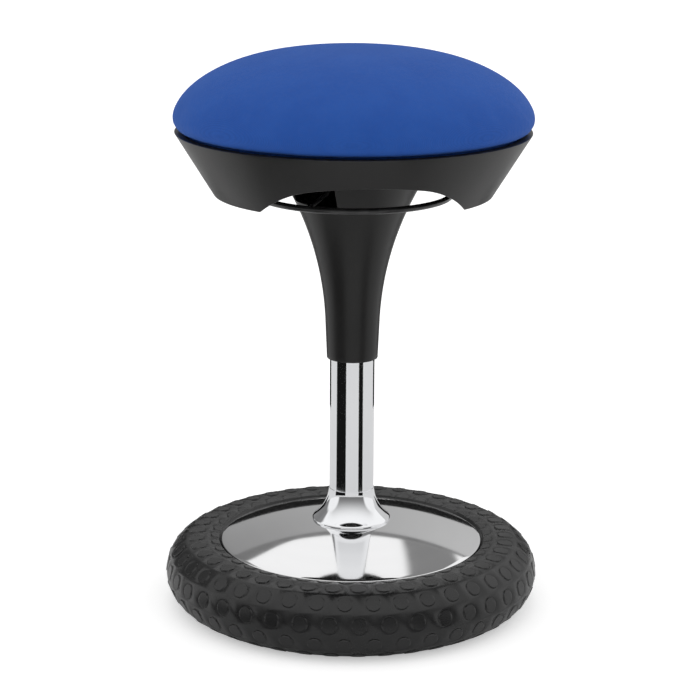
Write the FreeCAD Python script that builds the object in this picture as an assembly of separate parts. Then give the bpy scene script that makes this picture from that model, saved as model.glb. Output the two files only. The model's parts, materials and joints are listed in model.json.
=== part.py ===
import FreeCAD, Part
import math
import os
from FreeCAD import Vector

# Wobble stool: a domed round seat on a gas column that stands in a polished dish, which a fat
# air-filled tyre carries on the floor. Millimetres, Z up, floor at z = 0, column on the Z axis.
# The front is -Y. An azimuth is counted from -Y towards +X. The seat is at its highest setting.

# Tyre and air tube
tyre_outer_r = 198.0
tyre_section_r = 35.8
floor_flat_depth = 0.5
tyre_wall = 5.0
tyre_mouth_height = 12.6
bead_depth = 13.5
tyre_shoulder_drop = 1.8
tyre_shoulder_bow = 0.5
tyre_lip_bow = 0.4
tyre_bead_lift = 0.5
soft_gap = 0.3
air_tube_wall = 2.0

# Dish and lower rim
dish_inset = 23.2
dish_wall = 2.5
dish_rim_drop = 2.6
dish_rise = 21.5
lip_clearance = 2.8
rim_gap = 1.0
rim_wall = 2.5
rim_flange_inset = 7.0
rim_flange_drop = 17.3
tab_drop = 9.0
tab_length = 17.5
tab_width = 24.0

# Rim fasteners
stud_count = 8
stud_r = 3.0
stud_inset = 27.0
stud_tail = 2.5
nut_across_flats = 10.0
nut_height = 5.0

# Air valve
valve_azimuth = 112.5
valve_stem_r = 3.2
valve_bore_r = 1.2
valve_foot_r = 5.5
valve_foot_height = 1.5
valve_length = 20.0
valve_hole_gap = 0.4
cap_r = 4.6
cap_length = 9.0
cap_thread = 5.4

# Column
column_r = 23.5
column_wall = 1.8
column_edge = 0.6
column_foot_z = 24.0
column_overlap = 32.0
height_stroke = 125.0
running_gap = 0.05

# Hub
hub_foot_r = 41.5
hub_lip = 2.2
hub_top_rise = 35.0
hub_wall = 1.8
hub_waist_step = 6.0
hub_waist_rise = 13.8
hub_collar = 5.4
socket_wall = 6.5
socket_flange_r = 58.0
socket_flange_height = 6.0
socket_foot_rise = 4.0

# Rod anchor and thrust bearing
anchor_rise = 2.0
anchor_wall = 3.0
race_wall = 2.0
race_r = 11.5
ball_r = 1.48
ball_ring_r = 8.0
ball_count = 12
ball_play = 0.04
bump_stop_r = 12.0
bump_stop_height = 10.0
rod_r = 5.0
rod_stud_r = 4.0
rod_tail = 8.0
clip_r = 7.0
clip_wall = 1.2
clip_groove_depth = 0.8
clip_mouth = 5.0
washer_r = 9.0
washer_wall = 1.5
bottom_gap = 7.0

# Gas cylinder
cylinder_r = 14.0
cylinder_wall = 2.5
taper_length = 40.0
taper_drop = 1.0
pin_r = 4.0
pin_stand = 7.0
pin_length = 25.0
pin_travel = 3.0
cap_plug_height = 40.0
end_cap_height = 5.0
seal_height = 9.0
piston_height = 12.0
piston_gap = 0.1
piston_ring_height = 3.0
piston_ring_depth = 2.0
top_stop_gap = 5.0
bush_length = 80.0
bush_collar_height = 2.0

# Seat shell
shell_rim_z = 508.5
skirt_depth = 64.5
skirt_top_r = 184.0
skirt_bottom_r = 144.2
skirt_wall = 3.0
rim_ledge_width = 9.0
rim_ledge_wall = 3.0
deck_drop = 8.5
deck_wall = 4.0
deck_pad_height = 3.0
deck_pad_gap = 2.0

# Grip arches, one at the front and one at the back
arch_azimuth = 5.3
arch_rise = 33.5
arch_crown_r = 330.0
arch_crown_half = 54.0
arch_shoulder_r = 74.0

# Neck sleeve
neck_bottom_r = 26.7
neck_straight_r = 28.5
neck_length = 228.0
neck_straight = 41.0
neck_top_r = 98.8
neck_wall = 2.4
neck_chamfer = 1.2
neck_flange_wall = 3.0
neck_flange_gap = 1.0
window_bottom_drop = 58.0
window_height = 50.5
window_azimuth = -45.0
window_angle = 60.0

# Seat mount and release parts
mount_flange_r = 80.0
mount_flange_wall = 4.0
mount_socket_r = 19.0
mount_leg_wall = 6.0
mount_leg_r = 62.0
mount_leg_edge = 3.0
mount_leg_foot = 12.0
fulcrum_reach = 26.0
fulcrum_depth = 1.4
fulcrum_wall = 2.0
fulcrum_width = 12.8
bar_gap = 0.3
bar_wall = 3.0
bar_half_length = 31.0
bar_width = 16.0
bar_corner_r = 4.0
release_ring_r = 101.0
release_ring_drop = 52.5
release_wire_r = 3.25
arm_azimuth = -27.0
arm_wire_r = 2.5
arm_knee_r = 60.0
arm_knee_rise = 8.5
arm_rise_r = 27.0
arm_elbow_drop = 20.3
arm_bend_r = 11.0

# Seat board, foam and cover
board_inset = 18.0
board_wall = 10.0
cushion_overhang = 1.4
cushion_height = 71.0
cushion_equator_rise = 12.9
cushion_side_power = 2.59
cushion_crown_power = 1.63
cushion_tuck_inset = 6.0
cushion_side_bow = 5.2
cover_wall = 1.9
cover_gap = 0.1
tuck_rise = 1.1
hem_width = 28.0

# Seat fasteners
mount_bolt_r = 4.0
mount_bolt_ring_r = 68.0
mount_bolt_head_r = 6.5
mount_bolt_head_height = 5.0
mount_bolt_recess_r = 2.4
mount_bolt_recess = 2.5
mount_bolt_bite = 8.0
tee_nut_r = 5.5
tee_nut_flange_r = 11.0
tee_nut_flange_wall = 1.5
screw_r = 2.0
screw_head_r = 4.0
screw_head_height = 2.4
screw_head_round = 1.4
screw_slot_wall = 1.0
screw_slot_depth = 1.2
neck_screw_inset = 12.8
shell_screw_inset = 8.0
screw_bite = 7.0
staple_count = 24
staple_inset = 14.0
staple_width = 10.0
staple_leg = 6.0
staple_wire = 0.7

# Levels of the tyre and the dish
tyre_ring_r = tyre_outer_r - tyre_section_r
tyre_ring_z = tyre_section_r - floor_flat_depth
tyre_crest_z = tyre_ring_z + tyre_section_r
tyre_cavity_r = tyre_section_r - tyre_wall
dish_r = tyre_ring_r - dish_inset
dish_rim_z = tyre_crest_z - dish_rim_drop
hub_foot_z = dish_rim_z + dish_rise
bead_r = dish_r - bead_depth
rim_wall_r = bead_r - rim_gap
rim_flange_r = dish_r - rim_flange_inset
rim_bottom_z = tyre_ring_z - rim_flange_drop

# The dish is a cap of a sphere through the rim and the hub's foot
dish_centre_z = ((hub_foot_r**2 - dish_r**2 + hub_foot_z**2 - dish_rim_z**2)
                 / (2 * (hub_foot_z - dish_rim_z)))
dish_sphere_r = math.hypot(dish_r, dish_rim_z - dish_centre_z)

# Radii of the seat, from the shell's rim in and out
board_r = skirt_top_r - board_inset
staple_ring_r = board_r - staple_inset
deck_pad_r = board_r - hem_width - deck_pad_gap
shell_screw_ring_r = deck_pad_r - shell_screw_inset
cushion_r = skirt_top_r + cushion_overhang
cushion_tuck_r = skirt_top_r - cushion_tuck_inset

neck_screw_ring_r = neck_top_r - neck_screw_inset
neck_flange_inner_r = mount_flange_r + neck_flange_gap

# Levels of the seat, from the shell's rim down
deck_top_z = shell_rim_z - deck_drop
deck_bottom_z = deck_top_z - deck_wall
board_bottom_z = deck_top_z + deck_pad_height
board_top_z = board_bottom_z + board_wall
skirt_bottom_z = shell_rim_z - skirt_depth
skirt_slope = (skirt_top_r - skirt_bottom_r) / skirt_depth
mount_bottom_z = deck_bottom_z - mount_flange_wall
fulcrum_z = mount_bottom_z - fulcrum_depth
bar_top_z = fulcrum_z - bar_gap
bar_bottom_z = bar_top_z - bar_wall
pin_top_z = bar_bottom_z - bar_gap
cylinder_top_z = pin_top_z - pin_stand
taper_bottom_z = cylinder_top_z - taper_length
neck_bottom_z = deck_bottom_z - neck_length
ring_z = deck_bottom_z - release_ring_drop
equator_z = shell_rim_z + cushion_equator_rise

# Levels of the column, from the foot up
column_top_z = neck_bottom_z + column_overlap
column_bore_r = column_r - column_wall
anchor_bottom_z = column_foot_z + anchor_rise
anchor_top_z = anchor_bottom_z + anchor_wall
ball_z = anchor_top_z + race_wall + ball_r + ball_play / 2
upper_race_z = ball_z + ball_r + ball_play / 2
bump_stop_z = upper_race_z + race_wall
bump_stop_top_z = bump_stop_z + bump_stop_height
cylinder_bottom_z = bump_stop_top_z + bottom_gap + height_stroke
cylinder_bore_r = cylinder_r - cylinder_wall
seal_z = cylinder_bottom_z + end_cap_height
piston_z = seal_z + seal_height + top_stop_gap


# A closed outline in the half plane r >= 0, which turns about the Z axis into a solid
class Outline:
    def __init__(self, r, z):
        self.first = Vector(r, 0, z)
        self.last = self.first
        self.edges = []

    def line(self, *points):
        for r, z in points:
            end = Vector(r, 0, z)
            self.edges.append(Part.LineSegment(self.last, end).toShape())
            self.last = end
        return self

    def arc(self, middle, end):
        mid = Vector(middle[0], 0, middle[1])
        stop = Vector(end[0], 0, end[1])
        self.edges.append(Part.Arc(self.last, mid, stop).toShape())
        self.last = stop
        return self

    def curve(self, points):
        knots = [self.last] + [Vector(r, 0, z) for r, z in points]
        spline = Part.BSplineCurve()
        spline.interpolate(knots)
        self.edges.append(spline.toShape())
        self.last = knots[-1]
        return self

    def face(self):
        if (self.last - self.first).Length > 1e-6:
            self.line((self.first.x, self.first.z))
        return Part.Face(Part.Wire(self.edges))

    def spin(self):
        return self.face().revolve(Vector(0, 0, 0), Vector(0, 0, 1), 360)


# A washer-like ring between two radii and two heights
def ring(inner_r, outer_r, bottom_z, top_z):
    body = Part.makeCylinder(outer_r, top_z - bottom_z, Vector(0, 0, bottom_z))
    if inner_r > 0:
        body = body.cut(Part.makeCylinder(inner_r, top_z - bottom_z, Vector(0, 0, bottom_z)))
    return body


# A point at a radius and an azimuth, counted from the front towards +X
def polar(radius, azimuth, z=0.0):
    turn = math.radians(azimuth)
    return Vector(radius * math.sin(turn), -radius * math.cos(turn), z)


# Turns a shape that is built towards the front to an azimuth
def turned(shape, azimuth):
    copy = shape.copy()
    copy.rotate(Vector(0, 0, 0), Vector(0, 0, 1), azimuth)
    return copy


# Copies of a shape spread evenly round the Z axis
def spread(shape, count, first=0.0):
    return [turned(shape, first + 360.0 * i / count) for i in range(count)]


def export(name, shape):
    solids = shape.Solids
    shape = solids[0] if len(solids) == 1 else Part.makeCompound(solids)
    shape.exportStep("parts/" + name + ".step")
    print(name, len(solids), "solid(s)", round(shape.Volume / 1000, 2), "cm3", shape.isValid())


# Height of the dish's outer or inner face at a radius
def dish_face_z(radius, depth=0.0):
    return dish_centre_z + math.sqrt((dish_sphere_r - depth)**2 - radius**2)


# Height on the tyre's round section at a radius
def tyre_face_z(radius, side):
    return tyre_ring_z + side * math.sqrt(tyre_section_r**2 - (radius - tyre_ring_r)**2)


# All that lies above the dish's inner face, to seat pieces against it
def above_dish_inside():
    sphere = Part.makeSphere(dish_sphere_r - dish_wall, Vector(0, 0, dish_centre_z))
    block = Part.makeCylinder(dish_r * 1.1, dish_r, Vector(0, 0, 0))
    return block.cut(sphere)


# Soft tyre with a C section: its two beads sit between the dish and the lower rim
def make_tyre():
    flange_top = rim_bottom_z + rim_wall
    mouth = tyre_mouth_height / 2
    flat = math.sqrt(tyre_section_r**2 - tyre_ring_z**2)
    mouth_r = tyre_ring_r - math.sqrt(tyre_cavity_r**2 - mouth**2)
    shoulder_r = dish_r + lip_clearance
    shoulder_z = tyre_crest_z - tyre_shoulder_drop
    tuck_r = dish_r - dish_wall / 2
    tuck_z = dish_face_z(tuck_r, dish_wall) - soft_gap
    lip_r = dish_r + lip_clearance / 2
    lip_z = (tuck_z + shoulder_z) / 2 - tyre_lip_bow
    half_way = (shoulder_r + tyre_ring_r) / 2
    half_way_z = (shoulder_z + tyre_crest_z) / 2 + tyre_shoulder_bow
    side_r = tyre_ring_r - tyre_section_r / 2
    lower_r = rim_flange_r + lip_clearance
    shape = Outline(bead_r, dish_face_z(bead_r, dish_wall) - soft_gap - tyre_bead_lift)
    shape.line((tuck_r, tuck_z))
    shape.arc((lip_r, lip_z), (shoulder_r, shoulder_z))
    shape.arc((half_way, half_way_z), (tyre_ring_r, tyre_crest_z))
    shape.arc((tyre_outer_r, tyre_ring_z), (tyre_ring_r + flat, 0))
    shape.line((tyre_ring_r - flat, 0))
    shape.arc((side_r, tyre_face_z(side_r, -1)), (lower_r, tyre_face_z(lower_r, -1)))
    shape.line((rim_flange_r + 2 * soft_gap, flange_top + soft_gap), (bead_r, flange_top + soft_gap),
               (bead_r, tyre_ring_z - mouth), (mouth_r, tyre_ring_z - mouth))
    shape.arc((tyre_ring_r + tyre_cavity_r, tyre_ring_z), (mouth_r, tyre_ring_z + mouth))
    shape.line((bead_r, tyre_ring_z + mouth))
    return shape.spin()


# Air tube inside the tyre, open only at its valve
def make_air_tube():
    outer_r = tyre_cavity_r - soft_gap
    tube = Part.makeTorus(tyre_ring_r, outer_r, Vector(0, 0, tyre_ring_z))
    tube = tube.cut(Part.makeTorus(tyre_ring_r, outer_r - air_tube_wall, Vector(0, 0, tyre_ring_z)))
    start = polar(tyre_ring_r - outer_r - 1, valve_azimuth, tyre_ring_z)
    hole = Part.makeCylinder(valve_bore_r, outer_r, start, polar(1, valve_azimuth))
    return tube.cut(hole)


# Polished convex dish with a rounded rim, bored for the column
def make_base_dish():
    bore_r = column_r
    middle_r = dish_sphere_r - dish_wall / 2
    rim_angle = math.asin((dish_r - dish_wall / 2) / middle_r)
    across = (math.sin(rim_angle), math.cos(rim_angle))
    along = (math.cos(rim_angle), -math.sin(rim_angle))

    def rim_point(out, forward):
        return (middle_r * across[0] + out * across[0] + forward * along[0],
                dish_centre_z + middle_r * across[1] + out * across[1] + forward * along[1])

    half = dish_wall / 2
    half_way = (bore_r + dish_r) / 2
    shape = Outline(bore_r, dish_face_z(bore_r))
    shape.arc((half_way, dish_face_z(half_way)), rim_point(half, 0))
    shape.arc(rim_point(0, half), rim_point(-half, 0))
    shape.arc((half_way, dish_face_z(half_way, dish_wall)), (bore_r, dish_face_z(bore_r, dish_wall)))
    return shape.spin()


# Pressed rim below the dish: a flange under the lower bead, and a wall up to the dish
def make_lower_rim():
    wall_in = rim_wall_r - rim_wall
    shape = Outline(wall_in, rim_bottom_z)
    shape.line((rim_flange_r, rim_bottom_z), (rim_flange_r, rim_bottom_z + rim_wall),
               (rim_wall_r, rim_bottom_z + rim_wall), (rim_wall_r, dish_rim_z + dish_rise),
               (wall_in, dish_rim_z + dish_rise))
    valve_hole = Part.makeCylinder(valve_stem_r + valve_hole_gap, rim_wall * 4,
                                   polar(rim_wall_r - rim_wall * 2, valve_azimuth, tyre_ring_z),
                                   polar(1, valve_azimuth))
    return shape.spin().cut([above_dish_inside(), valve_hole])


# Tabs welded inside the rim's wall, weld studs under the dish, and the nuts that pull them together
def make_rim_fasteners():
    wall_in = rim_wall_r - rim_wall
    nut_top = dish_face_z(rim_wall_r, dish_wall) - tab_drop - rim_wall
    ring_r = dish_r - stud_inset
    tab = Part.makeBox(tab_width, tab_length, rim_wall,
                       Vector(-tab_width / 2, -wall_in, nut_top))
    tab = tab.common(Part.makeCylinder(wall_in, rim_wall, Vector(0, 0, nut_top)))
    tab = tab.cut(Part.makeCylinder(stud_r, rim_wall, polar(ring_r, 0, nut_top)))
    foot = nut_top - nut_height - stud_tail
    stud = Part.makeCylinder(stud_r, hub_foot_z - foot, polar(ring_r, 0, foot))
    stud = stud.cut(above_dish_inside())
    corner_r = nut_across_flats / math.sqrt(3)
    corners = [polar(corner_r, 60 * i, nut_top - nut_height) + polar(ring_r, 0) for i in range(7)]
    nut = Part.Face(Part.makePolygon(corners)).extrude(Vector(0, 0, nut_height))
    nut = nut.cut(Part.makeCylinder(stud_r, nut_height, polar(ring_r, 0, nut_top - nut_height)))
    export("rim_tabs", Part.makeCompound(spread(tab, stud_count)))
    export("rim_studs", Part.makeCompound(spread(stud, stud_count)))
    export("rim_nuts", Part.makeCompound(spread(nut, stud_count)))


# Valve stem through the rim's wall, with its foot on the air tube, and the dust cap
def make_valve():
    foot_r = tyre_ring_r - tyre_cavity_r
    inward = polar(-1, valve_azimuth)

    def rod(radius, outer_end, length):
        return Part.makeCylinder(radius, length, polar(outer_end, valve_azimuth, tyre_ring_z), inward)

    stem = rod(valve_stem_r, foot_r, valve_length).fuse(rod(valve_foot_r, foot_r, valve_foot_height))
    stem = stem.cut(rod(valve_bore_r, foot_r, valve_length))
    cap_start = foot_r - valve_length + cap_thread
    cap = rod(cap_r, cap_start, cap_length).cut(rod(valve_stem_r, cap_start, cap_thread))
    export("air_valve", stem.removeSplitter())
    export("valve_cap", cap)


# Chromed bell that covers the joint between the column and the dish
def make_hub_cone():
    foot_z = hub_foot_z + hub_lip
    top_z = hub_foot_z + hub_top_rise
    inner_foot_r = hub_foot_r - hub_wall
    waist_r = column_r + hub_waist_step
    waist_z = foot_z + hub_waist_rise
    across = hub_wall * math.sqrt(0.5)
    shape = Outline(hub_foot_r, hub_foot_z - hub_lip)
    shape.line((hub_foot_r, foot_z))
    shape.arc((waist_r, waist_z), (column_r + hub_wall / 4, top_z))
    shape.line((column_r, top_z), (column_r, top_z - hub_collar))
    shape.arc((waist_r - across, waist_z - across), (inner_foot_r, foot_z - hub_wall))
    shape.line((inner_foot_r, hub_foot_z - hub_lip))
    return shape.spin().cut(Part.makeSphere(dish_sphere_r, Vector(0, 0, dish_centre_z)))


# Steel socket that holds the column under the dish
def make_hub_socket():
    outer_r = column_r + socket_wall
    bottom = column_foot_z + socket_foot_rise
    flange_z = dish_face_z(socket_flange_r, dish_wall) - socket_flange_height
    shape = Outline(column_r, bottom)
    shape.line((outer_r, bottom), (outer_r, flange_z - socket_wall),
               (outer_r + socket_wall, flange_z), (socket_flange_r, flange_z),
               (socket_flange_r, hub_foot_z), (column_r, hub_foot_z))
    return shape.spin().cut(above_dish_inside())


# Chromed outer tube of the column
def make_standpipe():
    shape = Outline(column_bore_r, column_foot_z)
    shape.line((column_r, column_foot_z), (column_r, column_top_z - column_edge),
               (column_r - column_edge, column_top_z), (column_bore_r, column_top_z))
    return shape.spin()


# Plastic bush in the top of the tube, in which the gas cylinder slides and turns
def make_guide_bush():
    bore_r = cylinder_r + running_gap
    collar_r = column_r - column_edge
    shape = Outline(bore_r, column_top_z - bush_length)
    shape.line((column_bore_r, column_top_z - bush_length), (column_bore_r, column_top_z),
               (collar_r, column_top_z), (collar_r, column_top_z + bush_collar_height),
               (bore_r, column_top_z + bush_collar_height))
    return shape.spin()


# Steel disc in the foot of the tube, which the rod's stud passes through
def make_anchor_plate():
    return ring(rod_stud_r + running_gap, column_bore_r, anchor_bottom_z, anchor_top_z)


def make_thrust_bearing():
    ball = Part.makeSphere(ball_r, polar(ball_ring_r, 0, ball_z))
    export("lower_race", ring(rod_stud_r + 4 * running_gap, race_r, anchor_top_z,
                              anchor_top_z + race_wall))
    export("bearing_balls", Part.makeCompound(spread(ball, ball_count)))
    export("upper_race", ring(rod_stud_r, race_r, upper_race_z, upper_race_z + race_wall))
    export("bump_stop", ring(rod_r, bump_stop_r, bump_stop_z, bump_stop_top_z))


# Piston rod: a stud through the bearing and the anchor plate, then the rod up to the piston
def make_piston_rod():
    foot = column_foot_z - rod_tail
    clip_z = anchor_bottom_z - washer_wall - clip_wall
    groove_r = rod_stud_r - clip_groove_depth
    shape = Outline(0, foot)
    shape.line((rod_stud_r, foot), (rod_stud_r, clip_z), (groove_r, clip_z),
               (groove_r, clip_z + clip_wall), (rod_stud_r, clip_z + clip_wall),
               (rod_stud_r, bump_stop_z), (rod_r, bump_stop_z), (rod_r, piston_z + piston_height),
               (0, piston_z + piston_height))
    return shape.spin()


# Washer and spring clip that keep the rod in the foot of the column
def make_rod_retainer():
    washer_z = anchor_bottom_z - washer_wall
    clip_z = washer_z - clip_wall
    groove_r = rod_stud_r - clip_groove_depth
    mouth = Part.makeBox(clip_mouth, clip_r * 2, clip_wall, Vector(-clip_mouth / 2, 0, clip_z))
    export("rod_washer", ring(rod_stud_r, washer_r, washer_z, anchor_bottom_z))
    export("rod_clip", ring(groove_r, clip_r, clip_z, clip_z + clip_wall).cut(mouth))


# Piston with a groove for its ring
def make_piston():
    outer_r = cylinder_bore_r - piston_gap
    ring_bottom = piston_z + (piston_height - piston_ring_height) / 2
    ring_top = ring_bottom + piston_ring_height
    groove_r = outer_r - piston_ring_depth
    body = ring(rod_r, outer_r, piston_z, piston_z + piston_height)
    export("piston", body.cut(ring(groove_r, outer_r + 1, ring_bottom, ring_top)))
    export("piston_ring", ring(groove_r, cylinder_bore_r - running_gap, ring_bottom, ring_top))


# Gas cylinder with a tapered head, bored for the release pin
def make_gas_cylinder():
    cavity_top = cylinder_top_z - cap_plug_height
    pin_hole_z = pin_top_z - pin_length - pin_travel
    shape = Outline(cylinder_bore_r, cylinder_bottom_z)
    shape.line((cylinder_r, cylinder_bottom_z), (cylinder_r, taper_bottom_z),
               (cylinder_r - taper_drop, cylinder_top_z), (0, cylinder_top_z), (0, cavity_top),
               (cylinder_bore_r, cavity_top))
    hole = Part.makeCylinder(pin_r + running_gap, pin_length * 2, Vector(0, 0, pin_hole_z))
    return shape.spin().cut(hole)


# Guide and seal in the open end of the cylinder
def make_rod_seals():
    bore_r = rod_r + running_gap
    export("rod_guide", ring(bore_r, cylinder_bore_r, cylinder_bottom_z, seal_z))
    export("rod_seal", ring(bore_r, cylinder_bore_r, seal_z, seal_z + seal_height))


# Release pin in the head of the cylinder, with a rounded edge
def make_valve_pin():
    round_r = pin_r / 4
    bottom = pin_top_z - pin_length
    shape = Outline(0, bottom)
    shape.line((pin_r, bottom), (pin_r, pin_top_z - round_r))
    shape.arc((pin_r - round_r * (1 - math.sqrt(0.5)), pin_top_z - round_r * (1 - math.sqrt(0.5))),
              (pin_r - round_r, pin_top_z))
    shape.line((0, pin_top_z))
    return shape.spin()


# The arch-shaped prism that cuts both grips: a flat crown arc, then a tighter arc on each side
def grip_cutter():
    crown_z = skirt_bottom_z + arch_rise
    low_z = skirt_bottom_z - arch_rise / 2
    joint_angle = math.asin(arch_crown_half / arch_crown_r)
    joint_z = crown_z - arch_crown_r * (1 - math.cos(joint_angle))
    centre_x = arch_crown_half - arch_shoulder_r * math.sin(joint_angle)
    centre_z = joint_z - arch_shoulder_r * math.cos(joint_angle)
    end_angle = math.acos((low_z - centre_z) / arch_shoulder_r)
    mid_angle = (joint_angle + end_angle) / 2

    def shoulder(angle, side):
        return Vector(side * (centre_x + arch_shoulder_r * math.sin(angle)), 0,
                      centre_z + arch_shoulder_r * math.cos(angle))

    left = [shoulder(a, -1) for a in (end_angle, mid_angle, joint_angle)]
    right = [shoulder(a, 1) for a in (joint_angle, mid_angle, end_angle)]
    edges = [Part.Arc(*left).toShape(), Part.Arc(left[2], Vector(0, 0, crown_z), right[0]).toShape(),
             Part.Arc(*right).toShape(), Part.LineSegment(right[2], left[0]).toShape()]
    face = Part.Face(Part.Wire(edges))
    face.translate(Vector(0, -skirt_top_r * 1.1, 0))
    return turned(face.extrude(Vector(0, skirt_top_r * 2.2, 0)), arch_azimuth)


# Moulded shell: a conical skirt with two grip arches, and the deck that carries the seat board
def make_seat_shell():
    wall_across = skirt_wall * math.hypot(1, skirt_slope)
    ledge_bottom_z = shell_rim_z - rim_ledge_wall

    def outer_r(z):
        return skirt_bottom_r + skirt_slope * (z - skirt_bottom_z)

    shape = Outline(0, deck_bottom_z)
    shape.line((outer_r(deck_bottom_z) - wall_across, deck_bottom_z),
               (skirt_bottom_r - wall_across, skirt_bottom_z), (skirt_bottom_r, skirt_bottom_z),
               (skirt_top_r, shell_rim_z), (skirt_top_r - rim_ledge_width, shell_rim_z),
               (skirt_top_r - rim_ledge_width, ledge_bottom_z),
               (outer_r(ledge_bottom_z) - wall_across, ledge_bottom_z),
               (outer_r(deck_top_z) - wall_across, deck_top_z), (deck_pad_r, deck_top_z),
               (deck_pad_r, board_bottom_z), (0, board_bottom_z))
    holes = [Part.makeCylinder(mount_bolt_r, deck_wall * 3, p) for p in bolt_places(deck_bottom_z)]
    holes += [Part.makeCylinder(screw_r, deck_wall * 3, p) for p in shell_screw_places()]
    holes += [Part.makeCylinder(screw_r, deck_wall + deck_pad_height, p) for p in neck_screw_places()]
    return shape.spin().cut([grip_cutter()] + holes)


# Places of the fasteners, each on the lower face that its head bears on
def bolt_places(z):
    return [polar(mount_bolt_ring_r, arm_azimuth + 90 * i, z) for i in range(4)]


def neck_screw_places():
    return [polar(neck_screw_ring_r, arm_azimuth + 45 + 90 * i, deck_bottom_z) for i in range(4)]


def shell_screw_places():
    return [polar(shell_screw_ring_r, 30 + 60 * i, deck_bottom_z) for i in range(6)]


# One side of the neck's wall: straight and slightly conical, then a tangent flare to the top
def neck_side(inset):
    lean = math.atan((neck_straight_r - neck_bottom_r) / neck_straight)
    straight_z = neck_bottom_z + neck_straight
    out = neck_top_r - neck_straight_r
    up = deck_bottom_z - straight_z
    outer_flare_r = (out**2 + up**2) / (2 * (out * math.cos(lean) - up * math.sin(lean)))
    flare_r = outer_flare_r + inset
    centre_r = neck_straight_r + outer_flare_r * math.cos(lean)
    centre_z = straight_z - outer_flare_r * math.sin(lean)
    top = math.asin((deck_bottom_z - centre_z) / flare_r)

    def flare(angle):
        return (centre_r - flare_r * math.cos(angle), centre_z + flare_r * math.sin(angle))

    return flare(lean), flare((lean + top) / 2), flare(top)


# Trumpet-shaped neck that slides over the column, with a window for each release arm
def make_neck_sleeve():
    start, middle, end = neck_side(0)
    start_in, middle_in, end_in = neck_side(neck_wall)
    bore_r = neck_bottom_r - neck_wall
    shape = Outline(neck_bottom_r - neck_chamfer, neck_bottom_z)
    shape.line((neck_bottom_r, neck_bottom_z + neck_chamfer), start)
    shape.arc(middle, end)
    shape.line(end_in)
    shape.arc(middle_in, start_in)
    shape.line((bore_r, neck_bottom_z))
    flange_bottom = deck_bottom_z - neck_flange_wall
    flange = ring(neck_flange_inner_r, end_in[0] + neck_wall / 2, flange_bottom, deck_bottom_z)
    neck = shape.spin().fuse(flange).removeSplitter()
    low = deck_bottom_z - window_bottom_drop
    sector = Part.makeCylinder(mount_flange_r * 1.2, window_height, Vector(0, 0, low), Vector(0, 0, 1),
                               window_angle)
    windows = spread(turned(sector, -90 + window_azimuth - window_angle / 2), 2)
    drop = Vector(0, 0, neck_flange_wall)
    holes = [Part.makeCylinder(screw_r, neck_flange_wall, p - drop) for p in neck_screw_places()]
    return neck.cut(windows + holes)


# Cast mount: tapered socket, four legs and a flange, with the two ridges the release bar tilts on
def make_seat_mount():
    socket = Outline(cylinder_r, taper_bottom_z)
    socket.line((mount_socket_r, taper_bottom_z), (mount_socket_r, cylinder_top_z),
                (cylinder_r - taper_drop, cylinder_top_z))
    body = socket.spin().fuse(ring(0, mount_flange_r, mount_bottom_z, deck_bottom_z))
    inner_r = (mount_socket_r + cylinder_r) / 2
    step_r = mount_socket_r + mount_leg_wall
    corners = [(inner_r, taper_bottom_z + mount_leg_foot), (inner_r, cylinder_top_z),
               (step_r, cylinder_top_z), (step_r, mount_bottom_z), (mount_leg_r, mount_bottom_z),
               (mount_leg_r, mount_bottom_z - mount_leg_edge)]
    points = [Vector(-mount_leg_wall / 2, -r, z) for r, z in corners + corners[:1]]
    leg = Part.Face(Part.makePolygon(points)).extrude(Vector(mount_leg_wall, 0, 0))
    ridge = Part.makeBox(fulcrum_width, fulcrum_wall, fulcrum_depth,
                         Vector(-fulcrum_width / 2, -fulcrum_reach - fulcrum_wall / 2, fulcrum_z))
    body = body.fuse(spread(leg, 4, arm_azimuth + 45) + spread(ridge, 2, arm_azimuth))
    holes = [Part.makeCylinder(mount_bolt_r, mount_flange_wall, p) for p in bolt_places(mount_bottom_z)]
    return body.removeSplitter().cut(holes)


# Round wire along straight runs and tangent arcs
def bent_wire(points, bend_r, wire_r):
    edges = []
    last = points[0]
    for before, corner, after in zip(points, points[1:], points[2:]):
        back = (before - corner).normalize()
        ahead = (after - corner).normalize()
        half_turn = (math.pi - back.getAngle(ahead)) / 2
        trim = bend_r * math.tan(half_turn)
        enter = corner + back * trim
        leave = corner + ahead * trim
        to_arc = (back + ahead).normalize() * (bend_r * (1 / math.cos(half_turn) - 1))
        edges.append(Part.LineSegment(last, enter).toShape())
        edges.append(Part.Arc(enter, corner + to_arc, leave).toShape())
        last = leave
    edges.append(Part.LineSegment(last, points[-1]).toShape())
    section = Part.Wire(Part.makeCircle(wire_r, points[0], points[1] - points[0]))
    return Part.Wire(edges).makePipeShell([section], True, False)


# Release ring of round bar with two cranked arms that rise through the neck's windows
def make_release_ring():
    loop = Part.makeTorus(release_ring_r, release_wire_r, Vector(0, 0, ring_z))
    elbow_z = bar_bottom_z - arm_elbow_drop + bar_wall
    route = [Vector(0, -release_ring_r, ring_z), Vector(0, -arm_knee_r, ring_z + arm_knee_rise),
             Vector(0, -arm_rise_r, elbow_z), Vector(0, -arm_rise_r, bar_bottom_z)]
    arm = bent_wire(route, arm_bend_r, arm_wire_r)
    return loop.fuse(spread(arm, 2, arm_azimuth)).removeSplitter()


# Flat bar that joins the arms and presses the pin
def make_release_bar():
    bar = Part.makeBox(bar_width, 2 * bar_half_length, bar_wall,
                       Vector(-bar_width / 2, -bar_half_length, bar_bottom_z))
    corners = [e for e in bar.Edges if e.BoundBox.ZLength > bar_wall / 2]
    return turned(bar.makeFillet(bar_corner_r, corners), arm_azimuth)


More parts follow.
